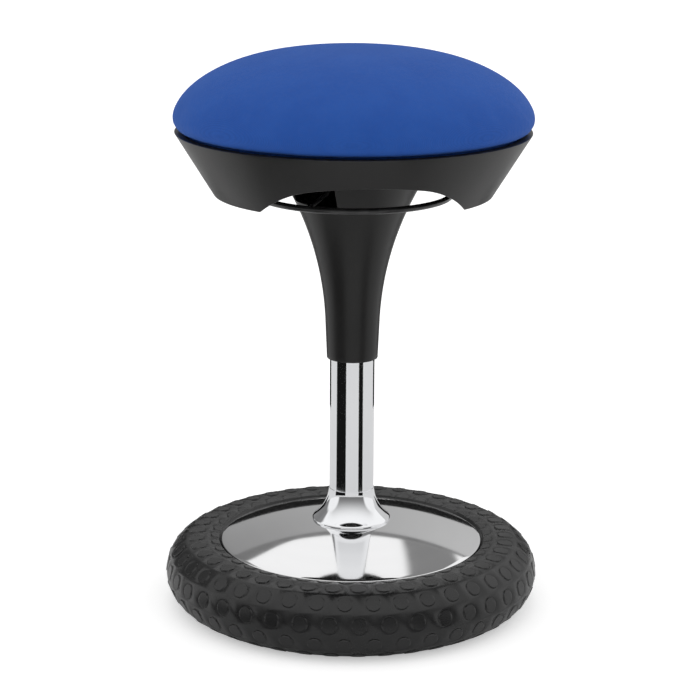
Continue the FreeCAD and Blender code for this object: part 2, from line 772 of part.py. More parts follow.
# Points of the cushion's dome from its widest ring to near the crown, by a superellipse
def dome_points(inset, steps=9):
    points = []
    for i in range(1, steps + 1):
        turn = 0.5 * math.pi * i / steps
        r = (cushion_r - inset) * max(math.cos(turn), 0.0) ** (2 / cushion_side_power)
        z = equator_z + (cushion_height - inset) * math.sin(turn) ** (2 / cushion_crown_power)
        points.append((r if i < steps else 0.0, z))
    return points


def make_seat_board():
    board = ring(0, board_r, board_bottom_z, board_top_z)
    holes = [Part.makeCylinder(screw_r, screw_bite, p + Vector(0, 0, deck_wall + deck_pad_height))
             for p in shell_screw_places()]
    holes += [Part.makeCylinder(tee_nut_r, board_wall, p) for p in bolt_places(board_bottom_z)]
    holes += [Part.makeCylinder(tee_nut_flange_r, board_wall, p)
              for p in bolt_places(board_top_z - tee_nut_flange_wall)]
    return board.cut(holes + staples())


# Foam cushion with its crown and drawn-in side
def make_foam_pad():
    inset = cover_wall + cover_gap
    tuck_z = shell_rim_z + tuck_rise + inset
    shape = Outline(0, board_top_z)
    shape.line((board_r, board_top_z), (board_r + inset, tuck_z),
               (cushion_tuck_r - inset, tuck_z))
    shape.arc((cushion_tuck_r - inset + cushion_side_bow, (tuck_z + equator_z) / 2),
              (cushion_r - inset, equator_z))
    shape.curve(dome_points(inset))
    return shape.spin()


# Fabric cover: over the dome, in over the shell's rim, down the board's edge and under it
def make_fabric_cover():
    edge_r = board_r + cover_gap
    hem_top = board_bottom_z - cover_gap
    hem_bottom = hem_top - cover_wall
    tuck_z = shell_rim_z + tuck_rise
    shape = Outline(cushion_r, equator_z)
    shape.curve(dome_points(0))
    shape.line((0, equator_z + cushion_height - cover_wall))
    shape.curve(dome_points(cover_wall)[-2::-1] + [(cushion_r - cover_wall, equator_z)])
    shape.arc((cushion_tuck_r - cover_wall + cushion_side_bow, (tuck_z + cover_wall + equator_z) / 2),
              (cushion_tuck_r - cover_wall, tuck_z + cover_wall))
    shape.line((edge_r + cover_wall, tuck_z + cover_wall), (edge_r, tuck_z), (edge_r, hem_top),
               (board_r - hem_width, hem_top), (board_r - hem_width, hem_bottom),
               (edge_r + cover_wall, hem_bottom), (edge_r + cover_wall, tuck_z - cover_wall / 2),
               (edge_r + 2 * cover_wall, tuck_z), (cushion_tuck_r, tuck_z))
    shape.arc((cushion_tuck_r + cushion_side_bow, (tuck_z + equator_z) / 2), (cushion_r, equator_z))
    return shape.spin().cut(staples())


# Staples that hold the hem under the board
def staples():
    crown_z = board_bottom_z - cover_gap - cover_wall - staple_wire
    reach = staple_width - staple_wire

    def leg(x):
        return Part.makeBox(staple_wire, staple_wire, staple_leg + staple_wire,
                            Vector(x - staple_width / 2, -staple_ring_r, crown_z))

    crown = Part.makeBox(staple_width, staple_wire, staple_wire,
                         Vector(-staple_width / 2, -staple_ring_r, crown_z))
    staple = crown.fuse([leg(0), leg(reach)]).removeSplitter()
    return spread(staple, staple_count)


# Bolts through the mount and the deck, and the tee nuts in the board that take them
def make_mount_fasteners():
    length = mount_flange_wall + deck_wall + deck_pad_height + mount_bolt_bite
    bolts = []
    nuts = []
    for place in bolt_places(mount_bottom_z):
        head = Part.makeCylinder(mount_bolt_head_r, mount_bolt_head_height,
                                 place - Vector(0, 0, mount_bolt_head_height))
        recess = Part.makeCylinder(mount_bolt_recess_r, mount_bolt_recess,
                                   place - Vector(0, 0, mount_bolt_head_height))
        bolts.append(head.fuse(Part.makeCylinder(mount_bolt_r, length, place)).removeSplitter().cut(recess))
    for place in bolt_places(board_bottom_z):
        barrel = Part.makeCylinder(tee_nut_r, board_wall, place)
        flange = Part.makeCylinder(tee_nut_flange_r, tee_nut_flange_wall,
                                   place + Vector(0, 0, board_wall - tee_nut_flange_wall))
        bore = Part.makeCylinder(mount_bolt_r, board_wall, place)
        nuts.append(barrel.fuse(flange).removeSplitter().cut(bore))
    export("mount_bolts", Part.makeCompound(bolts))
    export("tee_nuts", Part.makeCompound(nuts))


# A pan-head screw that points up, with its head's bearing face at the given place
def pan_screw(place, length):
    head = Part.makeCylinder(screw_head_r, screw_head_height, place - Vector(0, 0, screw_head_height))
    top_edges = [e for e in head.Edges if abs(e.BoundBox.ZMax - head.BoundBox.ZMin) < 1e-6]
    head = head.makeFillet(screw_head_round, top_edges)
    slot = Part.makeBox(screw_head_r, screw_slot_wall, screw_slot_depth,
                        place - Vector(screw_head_r / 2, screw_slot_wall / 2, screw_head_height))
    return head.fuse(Part.makeCylinder(screw_r, length, place)).cut(slot).removeSplitter()


def make_seat_screws():
    drop = Vector(0, 0, neck_flange_wall)
    neck = [pan_screw(p - drop, neck_flange_wall + deck_wall) for p in neck_screw_places()]
    shell_length = deck_wall + deck_pad_height + screw_bite
    shell = [pan_screw(p, shell_length) for p in shell_screw_places()]
    export("neck_screws", Part.makeCompound(neck))
    export("shell_screws", Part.makeCompound(shell))


os.makedirs("parts", exist_ok=True)
export("tyre", make_tyre())
export("air_tube", make_air_tube())
export("base_dish", make_base_dish())
export("lower_rim", make_lower_rim())
make_rim_fasteners()
make_valve()
export("hub_cone", make_hub_cone())
export("hub_socket", make_hub_socket())
export("standpipe", make_standpipe())
export("guide_bush", make_guide_bush())
export("anchor_plate", make_anchor_plate())
make_thrust_bearing()
export("piston_rod", make_piston_rod())
make_rod_retainer()
make_piston()
export("gas_cylinder", make_gas_cylinder())
make_rod_seals()
export("valve_pin", make_valve_pin())
export("seat_shell", make_seat_shell())
export("neck_sleeve", make_neck_sleeve())
export("seat_mount", make_seat_mount())
export("release_ring", make_release_ring())
export("release_bar", make_release_bar())
export("seat_board", make_seat_board())
export("foam_pad", make_foam_pad())
export("fabric_cover", make_fabric_cover())
export("cover_staples", Part.makeCompound(staples()))
make_mount_fasteners()
make_seat_screws()
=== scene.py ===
import json
import math

import bmesh
import bpy
from mathutils import Matrix, Vector


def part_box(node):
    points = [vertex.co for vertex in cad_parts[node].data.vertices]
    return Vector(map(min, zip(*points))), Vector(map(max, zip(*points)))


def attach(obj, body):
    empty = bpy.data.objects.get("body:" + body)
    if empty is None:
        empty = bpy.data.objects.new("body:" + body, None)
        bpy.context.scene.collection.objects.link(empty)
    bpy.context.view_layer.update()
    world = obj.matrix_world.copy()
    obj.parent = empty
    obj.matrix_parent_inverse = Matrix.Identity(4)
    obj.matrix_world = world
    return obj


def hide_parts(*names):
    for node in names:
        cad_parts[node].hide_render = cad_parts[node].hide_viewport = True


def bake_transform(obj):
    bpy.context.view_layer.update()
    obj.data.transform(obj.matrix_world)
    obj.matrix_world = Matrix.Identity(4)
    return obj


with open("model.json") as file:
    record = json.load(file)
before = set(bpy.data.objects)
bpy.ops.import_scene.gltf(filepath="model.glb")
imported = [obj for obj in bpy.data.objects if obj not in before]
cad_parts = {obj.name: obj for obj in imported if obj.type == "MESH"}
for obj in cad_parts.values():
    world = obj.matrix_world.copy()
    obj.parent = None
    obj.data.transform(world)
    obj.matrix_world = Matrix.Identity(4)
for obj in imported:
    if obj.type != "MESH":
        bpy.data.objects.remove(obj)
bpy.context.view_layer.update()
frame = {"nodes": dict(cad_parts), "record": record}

# Wobble stool. Shapes are given in millimetres and built in metres, azimuths count from -Y to +X.
mm = 0.001
weld = mm / 200
print("frame loaded:", len(frame["nodes"]), "nodes")


def boxOf(node):
    low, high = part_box(node)
    return [v / mm for v in low], [v / mm for v in high]


def bottomOf(node):
    return boxOf(node)[0][2]


def topOf(node):
    return boxOf(node)[1][2]


def radiusOf(node):
    return boxOf(node)[1][0]


def azimuthOf(point):
    return math.degrees(math.atan2(point.x, -point.y))


def placeAt(radius, azimuth, z):
    turn = math.radians(azimuth)
    return Vector((radius * math.sin(turn), -radius * math.cos(turn), z)) * mm


# Modelling helpers

def clearSelection():
    if bpy.context.object and bpy.context.object.mode != "OBJECT":
        bpy.ops.object.mode_set(mode="OBJECT")
    bpy.ops.object.select_all(action="DESELECT")


def pickObject(obj):
    clearSelection()
    obj.select_set(True)
    bpy.context.view_layer.objects.active = obj


def nameIt(name):
    obj = bpy.context.object
    obj.name = name
    obj.data.name = name
    return obj


def editMesh(obj):
    pickObject(obj)
    bpy.ops.object.mode_set(mode="EDIT")


def leaveEdit():
    bpy.ops.object.mode_set(mode="OBJECT")


# kind is vert, edge or face
def selectWhere(obj, kind, test):
    mesh = bmesh.from_edit_mesh(obj.data)
    bpy.ops.mesh.select_all(action="DESELECT")
    bpy.ops.mesh.select_mode(type=kind.upper())
    for part in getattr(mesh, kind + "s"):
        if test(part):
            part.select_set(True)
    mesh.select_flush_mode()
    bmesh.update_edit_mesh(obj.data)


def moveSelected(obj, placeOf):
    mesh = bmesh.from_edit_mesh(obj.data)
    for v in mesh.verts:
        if v.select:
            v.co = placeOf(v.co)
    bmesh.update_edit_mesh(obj.data)


# An open edge whose two ends both pass the test
def openEdge(edge, test):
    return len(edge.link_faces) == 1 and all(test(v.co) for v in edge.verts)


def applyPlace(obj):
    pickObject(obj)
    bpy.ops.object.transform_apply(location=True, rotation=True, scale=True)


def modify(obj, kind, **values):
    pickObject(obj)
    mod = obj.modifiers.new(kind.title(), kind)
    for key, value in values.items():
        setattr(mod, key, value)
    bpy.ops.object.modifier_apply(modifier=mod.name)


def smoothOver(obj, angle):
    pickObject(obj)
    bpy.ops.object.shade_smooth_by_angle(angle=math.radians(angle))


def joinInto(obj, others):
    clearSelection()
    for other in others:
        other.select_set(True)
    obj.select_set(True)
    bpy.context.view_layer.objects.active = obj
    bpy.ops.object.join()
    return obj


def combine(obj, tool, operation):
    modify(obj, "BOOLEAN", operation=operation, object=tool, solver="EXACT")
    bpy.data.objects.remove(tool)


def arcThrough(start, middle, end, steps):
    (ax, ay), (bx, by), (cx, cy) = start, middle, end
    d = 2 * (ax * (by - cy) + bx * (cy - ay) + cx * (ay - by))
    ux = ((ax**2 + ay**2) * (by - cy) + (bx**2 + by**2) * (cy - ay) + (cx**2 + cy**2) * (ay - by)) / d
    uy = ((ax**2 + ay**2) * (cx - bx) + (bx**2 + by**2) * (ax - cx) + (cx**2 + cy**2) * (bx - ax)) / d
    radius = math.hypot(ax - ux, ay - uy)
    a0, a1, a2 = (math.atan2(y - uy, x - ux) for x, y in (start, middle, end))
    full = 2 * math.pi
    if (a1 - a0) % full < (a2 - a0) % full:
        sweep = (a2 - a0) % full
    else:
        sweep = (a2 - a0) % full - full
    return [(ux + radius * math.cos(a0 + sweep * i / steps), uy + radius * math.sin(a0 + sweep * i / steps))
            for i in range(1, steps + 1)]


# A mesh of one vertex, left in edit mode with the vertex selected
def startLine(name, place):
    clearSelection()
    bpy.ops.mesh.primitive_plane_add(size=mm, location=(0, 0, 0))
    obj = nameIt(name)
    bpy.ops.object.mode_set(mode="EDIT")
    bpy.ops.mesh.merge(type="CENTER")
    mesh = bmesh.from_edit_mesh(obj.data)
    mesh.verts.ensure_lookup_table()
    mesh.verts[0].co = place
    mesh.verts[0].select_set(True)
    bmesh.update_edit_mesh(obj.data)
    return obj


# One vertex drawn along an outline by extrusion, then spun round the Z axis
def turnOutline(name, points, steps, closed=True):
    last = placeAt(points[0][0], 0, points[0][1])
    obj = startLine(name, last)
    for r, z in points[1:] + (points[:1] if closed else []):
        here = placeAt(r, 0, z)
        bpy.ops.mesh.extrude_vertices_move(TRANSFORM_OT_translate={"value": here - last})
        last = here
    bpy.ops.mesh.select_all(action="SELECT")
    bpy.ops.mesh.remove_doubles(threshold=weld)
    bpy.ops.mesh.select_all(action="SELECT")
    bpy.ops.mesh.spin(steps=steps, angle=2 * math.pi, center=(0, 0, 0), axis=(0, 0, 1))
    bpy.ops.mesh.select_all(action="SELECT")
    bpy.ops.mesh.remove_doubles(threshold=weld)
    bpy.ops.mesh.normals_make_consistent(inside=False)
    leaveEdit()
    return obj


# Shared effects as node groups

def newGroup(name, values, results):
    tree = bpy.data.node_groups.new(name, "ShaderNodeTree")
    tree.interface.new_socket("Vector", in_out="INPUT", socket_type="NodeSocketVector")
    for label, value in values.items():
        socket = tree.interface.new_socket(label, in_out="INPUT", socket_type="NodeSocketFloat")
        socket.default_value = value
    for label in results:
        tree.interface.new_socket(label, in_out="OUTPUT", socket_type="NodeSocketFloat")
    return tree, tree.nodes.new("NodeGroupInput").outputs, tree.nodes.new("NodeGroupOutput").inputs


def addNode(tree, kind, inputs=None, **settings):
    node = tree.nodes.new("ShaderNode" + kind)
    for key, value in settings.items():
        setattr(node, key, value)
    for key, value in (inputs or {}).items():
        if isinstance(value, bpy.types.NodeSocket):
            tree.links.new(value, node.inputs[key])
        else:
            node.inputs[key].default_value = value
    return node


def calc(tree, operation, a, b=0.0, c=0.0):
    return addNode(tree, "Math", {0: a, 1: b, 2: c}, operation=operation).outputs[0]


def ramp(tree, value, low, high, toLow=0.0, toHigh=1.0):
    return addNode(tree, "MapRange", {"Value": value, "From Min": low, "From Max": high, "To Min": toLow,
                                      "To Max": toHigh}, interpolation_type="SMOOTHSTEP").outputs["Result"]


def mixValue(tree, factor, a, b):
    return addNode(tree, "Mix", {0: factor, 2: a, 3: b}, data_type="FLOAT").outputs[0]


def blendColour(tree, factor, a, b):
    return addNode(tree, "Mix", {0: factor, 6: a, 7: b}, data_type="RGBA").outputs[2]


def noise(tree, vector, scale, detail, roughness=0.5, distortion=0.0):
    return addNode(tree, "TexNoise", {"Vector": vector, "Scale": scale, "Detail": detail, "Roughness": roughness,
                                      "Distortion": distortion}).outputs["Fac"]


def makeGrainGroup():
    tree, entry, out = newGroup("surfaceGrain", {"Scale": 400.0, "Pebble": 0.5}, ["Height", "Mottle"])
    fine = noise(tree, entry["Vector"], entry["Scale"], 4.0, 0.6)
    cells = addNode(tree, "TexVoronoi", {"Vector": entry["Vector"], "Scale": entry["Scale"]}, feature="SMOOTH_F1")
    broad = noise(tree, entry["Vector"], 14.0, 3.0)
    tree.links.new(mixValue(tree, entry["Pebble"], fine, cells.outputs["Distance"]), out["Height"])
    tree.links.new(ramp(tree, broad, 0.3, 0.7), out["Mottle"])
    return tree


def makeSmudgeGroup():
    tree, entry, out = newGroup("handledSmudges", {"Scale": 9.0, "Spread": 0.5}, ["Mask"])
    cloud = noise(tree, entry["Vector"], entry["Scale"], 5.0, 0.62, 0.8)
    low = calc(tree, "SUBTRACT", 0.62, calc(tree, "MULTIPLY", entry["Spread"], 0.3))
    tree.links.new(ramp(tree, cloud, low, 0.78), out["Mask"])
    return tree


def makeEdgeGroup():
    tree, entry, out = newGroup("edgeRub", {"Reach": 0.04}, ["Mask"])
    pointed = addNode(tree, "NewGeometry").outputs["Pointiness"]
    edge = ramp(tree, pointed, 0.51, calc(tree, "ADD", 0.52, entry["Reach"]))
    broken = ramp(tree, noise(tree, entry["Vector"], 120.0, 5.0), 0.42, 0.6)
    tree.links.new(calc(tree, "MULTIPLY", edge, broken), out["Mask"])
    return tree


def makeDustGroup():
    tree, entry, out = newGroup("settledDust", {"Amount": 0.3}, ["Mask"])
    up = addNode(tree, "SeparateXYZ", {0: addNode(tree, "NewGeometry").outputs["Normal"]}).outputs["Z"]
    spotted = ramp(tree, noise(tree, entry["Vector"], 60.0, 6.0, 0.7), 0.4, 0.75)
    settled = calc(tree, "MULTIPLY", ramp(tree, up, 0.1, 0.95), spotted)
    tree.links.new(calc(tree, "MULTIPLY", settled, entry["Amount"]), out["Mask"])
    return tree


# Rings round the Z axis, as a lathe or a polishing wheel leaves them
def makeTurningGroup():
    tree, entry, out = newGroup("turningMarks", {"Pitch": 900.0}, ["Height", "Bands"])
    parts = addNode(tree, "SeparateXYZ", {0: entry["Vector"]}).outputs
    across = calc(tree, "SQRT", calc(tree, "ADD", calc(tree, "POWER", parts["X"], 2.0),
                                     calc(tree, "POWER", parts["Y"], 2.0)))
    ringed = addNode(tree, "CombineXYZ", {"X": across, "Y": calc(tree, "MULTIPLY", parts["Z"], 0.2)}).outputs[0]
    tree.links.new(noise(tree, ringed, entry["Pitch"], 3.0), out["Height"])
    tree.links.new(noise(tree, ringed, 55.0, 2.0), out["Bands"])
    return tree


# Plain weave whose threads wander a little
def makeWeaveGroup():
    tree, entry, out = newGroup("wovenCloth", {"Threads": 900.0}, ["Height", "Tone", "Fuzz"])
    drift = addNode(tree, "TexNoise", {"Vector": entry["Vector"], "Scale": 25.0, "Detail": 2.0}).outputs["Color"]
    wander = (0.0012, 0.0012, 0.0012)
    moved = addNode(tree, "VectorMath", {0: drift, 1: wander, 2: entry["Vector"]}, operation="MULTIPLY_ADD")
    parts = addNode(tree, "SeparateXYZ", {0: moved.outputs[0]}).outputs
    warp, weft = (calc(tree, "SINE", calc(tree, "MULTIPLY", parts[k], entry["Threads"])) for k in "XY")
    threads = calc(tree, "MULTIPLY_ADD", calc(tree, "MULTIPLY", warp, weft), 0.5, 0.5)
    yarn = noise(tree, entry["Vector"], 260.0, 4.0)
    tone = noise(tree, entry["Vector"], 22.0, 5.0, 0.65)
    tree.links.new(calc(tree, "MULTIPLY_ADD", yarn, 0.6, threads), out["Height"])
    tree.links.new(ramp(tree, tone, 0.3, 0.7), out["Tone"])
    tree.links.new(yarn, out["Fuzz"])
    return tree


grainGroup = makeGrainGroup()
smudgeGroup = makeSmudgeGroup()
edgeGroup = makeEdgeGroup()
dustGroup = makeDustGroup()
turningGroup = makeTurningGroup()
weaveGroup = makeWeaveGroup()
print("shared effects made")


def useGroup(tree, group, vector, **values):
    node = tree.nodes.new("ShaderNodeGroup")
    node.node_tree = group
    tree.links.new(vector, node.inputs["Vector"])
    for key, value in values.items():
        node.inputs[key.title()].default_value = value
    return node.outputs


def rgba(colour):
    return (*colour, 1.0)


def newFinish(name, **principled):
    finish = bpy.data.materials.new(name)
    finish.use_nodes = True
    tree = finish.node_tree
    shader = tree.nodes["Principled BSDF"]
    for key, value in principled.items():
        shader.inputs[key.replace("_", " ")].default_value = value
    place = addNode(tree, "TexCoord").outputs["Object"]
    return finish, tree, shader, place


def wireShader(tree, shader, colour, rough, height, depth):
    tree.links.new(colour, shader.inputs["Base Color"])
    tree.links.new(rough, shader.inputs["Roughness"])
    bump = addNode(tree, "Bump", {"Height": height, "Distance": depth * mm, "Strength": 1.0})
    tree.links.new(bump.outputs[0], shader.inputs["Normal"])


def grey(value):
    return (value, value, value)


dustColour = (0.42, 0.4, 0.37)


# Painted, moulded and bare finishes: colour and gloss vary with grain, smudges, dust and rubbed edges
def hardFinish(name, look):
    finish, tree, shader, place = newFinish(name, Metallic=look.get("metallic", 0.0),
                                            Coat_Weight=look.get("coat", 0.0),
                                            Coat_Roughness=look.get("coatRough", 0.1),
                                            Specular_IOR_Level=look.get("specular", 0.5))
    grain = useGroup(tree, grainGroup, place, scale=look["grainScale"], pebble=look.get("pebble", 0.5))
    smudge = useGroup(tree, smudgeGroup, place, scale=look.get("smudgeScale", 9.0),
                      spread=look.get("smudgeSpread", 0.5))
    colour = blendColour(tree, grain["Mottle"], rgba(look["colour"]), rgba(look["mottled"]))
    if look.get("dust"):
        dust = useGroup(tree, dustGroup, place, amount=look["dust"])
        colour = blendColour(tree, dust["Mask"], colour, rgba(dustColour))
    if look.get("rub"):
        rub = useGroup(tree, edgeGroup, place)
        share = calc(tree, "MULTIPLY", rub["Mask"], look["rub"])
        colour = blendColour(tree, share, colour, rgba(look["rubbed"]))
    rough = ramp(tree, smudge["Mask"], 0.0, 1.0, look["rough"], look["rough"] + look.get("roughSpread", 0.1))
    wireShader(tree, shader, colour, rough, grain["Height"], look["grainDepth"])
    return finish


finishes = {}
hardLooks = {
    "tyre_rubber": dict(colour=(0.004, 0.004, 0.0042), mottled=(0.007, 0.007, 0.0073), rough=0.26,
        roughSpread=0.14, grainScale=700.0, grainDepth=0.04, pebble=0.3, dust=0.008, specular=0.5),
    "tube_rubber": dict(colour=grey(0.012), mottled=grey(0.02), rough=0.6, grainScale=500.0, grainDepth=0.1,
        dust=0.2),
    "black_steel": dict(colour=(0.02, 0.02, 0.021), mottled=grey(0.03), rough=0.38, grainScale=900.0,
        grainDepth=0.05, rub=0.7, rubbed=(0.25, 0.24, 0.23), dust=0.1),
    "zinc_steel": dict(colour=(0.55, 0.56, 0.57), mottled=(0.66, 0.66, 0.62), rough=0.3, metallic=1.0,
        grainScale=600.0, grainDepth=0.03, smudgeScale=30.0),
    "brass": dict(colour=(0.72, 0.52, 0.2), mottled=(0.55, 0.38, 0.15), rough=0.28, metallic=1.0,
        grainScale=800.0, grainDepth=0.03, smudgeScale=60.0),
    "cap_plastic": dict(colour=grey(0.02), mottled=grey(0.03), rough=0.5, grainScale=1500.0, grainDepth=0.06),
    "bush_plastic": dict(colour=(0.68, 0.66, 0.6), mottled=(0.74, 0.72, 0.67), rough=0.4, grainScale=900.0,
        grainDepth=0.04, smudgeScale=40.0),
    "seal_rubber": dict(colour=grey(0.018), mottled=grey(0.03), rough=0.55, grainScale=1200.0, grainDepth=0.06),
    "cylinder_paint": dict(colour=(0.012, 0.012, 0.013), mottled=(0.016, 0.016, 0.017), rough=0.16,
        grainScale=500.0, grainDepth=0.01, coat=0.6, coatRough=0.08, smudgeScale=20.0),
    "piston_alloy": dict(colour=(0.66, 0.66, 0.68), mottled=(0.58, 0.58, 0.6), rough=0.32, metallic=1.0,
        grainScale=900.0, grainDepth=0.03),
    "cast_mount": dict(colour=(0.028, 0.028, 0.029), mottled=grey(0.04), rough=0.55, grainScale=420.0,
        grainDepth=0.25, pebble=0.7, rub=0.5, rubbed=grey(0.18), dust=0.12),
    "ring_steel": dict(colour=(0.01, 0.01, 0.011), mottled=grey(0.016), rough=0.3, grainScale=900.0,
        grainDepth=0.03, coat=0.3, rub=0.4, rubbed=grey(0.12)),
    "black_plastic": dict(colour=(0.008, 0.0078, 0.0076), mottled=(0.011, 0.0107, 0.0105), rough=0.36,
        roughSpread=0.08, specular=0.38, grainScale=1400.0, grainDepth=0.04, pebble=0.6, rub=0.25,
        rubbed=grey(0.05)),
}
for slotName, look in hardLooks.items():
    finishes[slotName] = hardFinish(slotName, look)


# Plated and polished metal: lathe marks, a faint haze and a clear reflection
def metalFinish(name, look):
    finish, tree, shader, place = newFinish(name, Metallic=1.0)
    turning = useGroup(tree, turningGroup, place, pitch=look["pitch"])
    smudge = useGroup(tree, smudgeGroup, place, scale=look["smudgeScale"], spread=look["smudgeSpread"])
    colour = blendColour(tree, turning["Bands"], rgba(look["colour"]), rgba(look["banded"]))
    colour = blendColour(tree, calc(tree, "MULTIPLY", smudge["Mask"], 0.35), colour, rgba(look["hazed"]))
    low = look["rough"]
    rough = calc(tree, "ADD", ramp(tree, turning["Bands"], 0.35, 0.65, low, low + look["bandRough"]),
                 ramp(tree, smudge["Mask"], 0.0, 1.0, 0.0, look["hazeRough"]))
    wireShader(tree, shader, colour, rough, turning["Height"], look["depth"])
    return finish


metalLooks = {
    "polished_aluminium": dict(colour=(0.80, 0.80, 0.805), banded=(0.86, 0.86, 0.865),
        hazed=(0.74, 0.745, 0.75), pitch=1400.0, smudgeScale=5.0, smudgeSpread=0.3, rough=0.06, bandRough=0.02,
        hazeRough=0.03, depth=0.002),
    "chrome": dict(colour=(0.83, 0.84, 0.86), banded=(0.86, 0.865, 0.875), hazed=(0.8, 0.8, 0.82), pitch=300.0,
        smudgeScale=20.0, smudgeSpread=0.3, rough=0.045, bandRough=0.02, hazeRough=0.05, depth=0.001),
    "rod_chrome": dict(colour=(0.78, 0.78, 0.8), banded=(0.83, 0.83, 0.84), hazed=grey(0.7), pitch=900.0,
        smudgeScale=30.0, smudgeSpread=0.5, rough=0.1, bandRough=0.05, hazeRough=0.1, depth=0.002),
}
for slotName, look in metalLooks.items():
    finishes[slotName] = metalFinish(slotName, look)


def clothFinish(name, look):
    finish, tree, shader, place = newFinish(name, Sheen_Weight=look["sheen"], Sheen_Roughness=0.45,
                                            Sheen_Tint=rgba(look["sheenTint"]), Specular_IOR_Level=0.25)
    cloth = useGroup(tree, weaveGroup, place, threads=look["threads"])
    colour = blendColour(tree, cloth["Tone"], rgba(look["colour"]), rgba(look["faded"]))
    # Darker colour where the weave is low, between the threads: painted shade in the weave's gaps.
    colour = blendColour(tree, ramp(tree, cloth["Height"], 0.1, 0.8, 0.55, 0.0), colour, rgba(look["threadGapShade"]))
    wireShader(tree, shader, colour, ramp(tree, cloth["Fuzz"], 0.3, 0.7, 0.78, 0.92), cloth["Height"], look["depth"])
    return finish


finishes["blue_fabric"] = clothFinish("blue_fabric", dict(
    colour=(0.02, 0.096, 0.43), faded=(0.024, 0.108, 0.46), threadGapShade=(0.012, 0.05, 0.25), sheen=0.12,
    sheenTint=(0.35, 0.55, 1.0), threads=5200.0, depth=0.12))


# Beech plywood: plies stacked up the Z axis, with grain along X
def plywoodFinish(name, look):
    finish, tree, shader, place = newFinish(name, Specular_IOR_Level=0.3)
    along = addNode(tree, "Mapping", {"Vector": place, "Scale": (18.0, 260.0, 260.0)}).outputs[0]
    fibres = noise(tree, along, 1.0, 5.0, 0.65)
    colour = blendColour(tree, fibres, rgba(look["light"]), rgba(look["dark"]))
    height = addNode(tree, "SeparateXYZ", {0: place}).outputs["Z"]
    step = calc(tree, "SINE", calc(tree, "MULTIPLY", height, 2 * math.pi / (look["ply"] * mm)))
    side = addNode(tree, "SeparateXYZ", {0: addNode(tree, "NewGeometry").outputs["Normal"]}).outputs["Z"]
    edge = ramp(tree, calc(tree, "ABSOLUTE", side), 0.2, 0.7, 1.0, 0.0)
    plies = calc(tree, "MULTIPLY", ramp(tree, step, -0.2, 0.2), edge)
    colour = blendColour(tree, plies, colour, rgba(look["crossPly"]))
    wireShader(tree, shader, colour, ramp(tree, fibres, 0.3, 0.7, 0.55, 0.75), fibres, look["depth"])
    return finish


finishes["plywood"] = plywoodFinish("plywood", dict(light=(0.62, 0.43, 0.25), dark=(0.42, 0.26, 0.13),
                                                    crossPly=(0.3, 0.17, 0.08), ply=2.0, depth=0.15))


def foamFinish(name, look):
    finish, tree, shader, place = newFinish(name, Subsurface_Weight=0.15, Subsurface_Scale=0.004)
    cells = addNode(tree, "TexVoronoi", {"Vector": place, "Scale": look["cells"]}, feature="F1")
    age = noise(tree, place, 8.0, 4.0)
    colour = blendColour(tree, age, rgba(look["fresh"]), rgba(look["aged"]))
    # Darker colour in the pits at the cell centres: painted shade in the foam's pores.
    colour = blendColour(tree, ramp(tree, cells.outputs["Distance"], 0.0, 0.5, 0.5, 0.0), colour, rgba(look["poreShade"]))
    rough = ramp(tree, age, 0.3, 0.7, 0.85, 0.97)
    wireShader(tree, shader, colour, rough, cells.outputs["Distance"], look["depth"])
    return finish


finishes["foam"] = foamFinish("foam", dict(fresh=(0.82, 0.76, 0.55), aged=(0.75, 0.63, 0.36),
                                           poreShade=(0.5, 0.4, 0.22), cells=900.0, depth=0.4))

nodeSlots = {part["node"]: part["material_slot"] for part in frame["record"]["subparts"]}
for node, obj in frame["nodes"].items():
    slots = obj.material_slots
    if not slots:
        obj.data.materials.append(finishes[nodeSlots[node]])
    for slot in slots:
        slot.material = finishes[nodeSlots[node]]
print("finishes made:", len(finishes))


def settle(obj, slotName, body=None, *nodes):
    obj.data.materials.clear()
    obj.data.materials.append(finishes[slotName])
    if body:
        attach(obj, body)
    if nodes:
        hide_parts(*nodes)


# Dish: a cap of a large sphere with a rolled rim

dish = {"wall": 2.5, "boreR": 23.5, "steps": 256, "capSteps": 40, "underSteps": 12, "rimSteps": 8}


def circleThrough(r1, z1, r2, z2):
    centreZ = (r1**2 - r2**2 + z1**2 - z2**2) / (2 * (z1 - z2))
    return centreZ, math.hypot(r1, z1 - centreZ)


hub = {"footR": 41.5, "lip": 2.2, "topRise": 35.0, "wall": 1.8, "waistStep": 6.0, "waistRise": 13.8,
       "collar": 5.4, "lipR": 0.5, "gap": 0.02, "outerSteps": 28, "innerSteps": 16, "steps": 160}
dishFootZ = 90.0
dishEdgeR, dishEdgeZ = 139.0, 68.5
dishCentreZ, dishSphereR = circleThrough(hub["footR"], dishFootZ, dishEdgeR, dishEdgeZ)


def dishZ(r, depth=0.0):
    return dishCentreZ + math.sqrt((dishSphereR - depth)**2 - r**2)


def makeDish():
    half = dish["wall"] / 2
    middleR = dishSphereR - half
    angle = math.asin((dishEdgeR - half) / middleR)

    def rimPoint(out, forward):
        return (middleR * math.sin(angle) + out * math.sin(angle) + forward * math.cos(angle),
                dishCentreZ + middleR * math.cos(angle) + out * math.cos(angle) - forward * math.sin(angle))

    top = rimPoint(half, 0)
    low = rimPoint(-half, 0)
    radii = [dish["boreR"] + (top[0] - dish["boreR"]) * i / dish["capSteps"] for i in range(dish["capSteps"])]
    lowRadii = [dish["boreR"] + (low[0] - dish["boreR"]) * i / dish["underSteps"] for i in range(dish["underSteps"])]
    points = [(r, dishZ(r)) for r in radii] + [top]
    points += arcThrough(top, rimPoint(0, half), low, dish["rimSteps"])
    points += [(r, dishZ(r, dish["wall"])) for r in lowRadii[::-1]]
    return turnOutline("dish", points, dish["steps"])


dishPiece = makeDish()
smoothOver(dishPiece, 40)
settle(dishPiece, "polished_aluminium", "base", "base_dish")
print("dish turned")


# Hub: chromed bell with a short straight lip on the dish

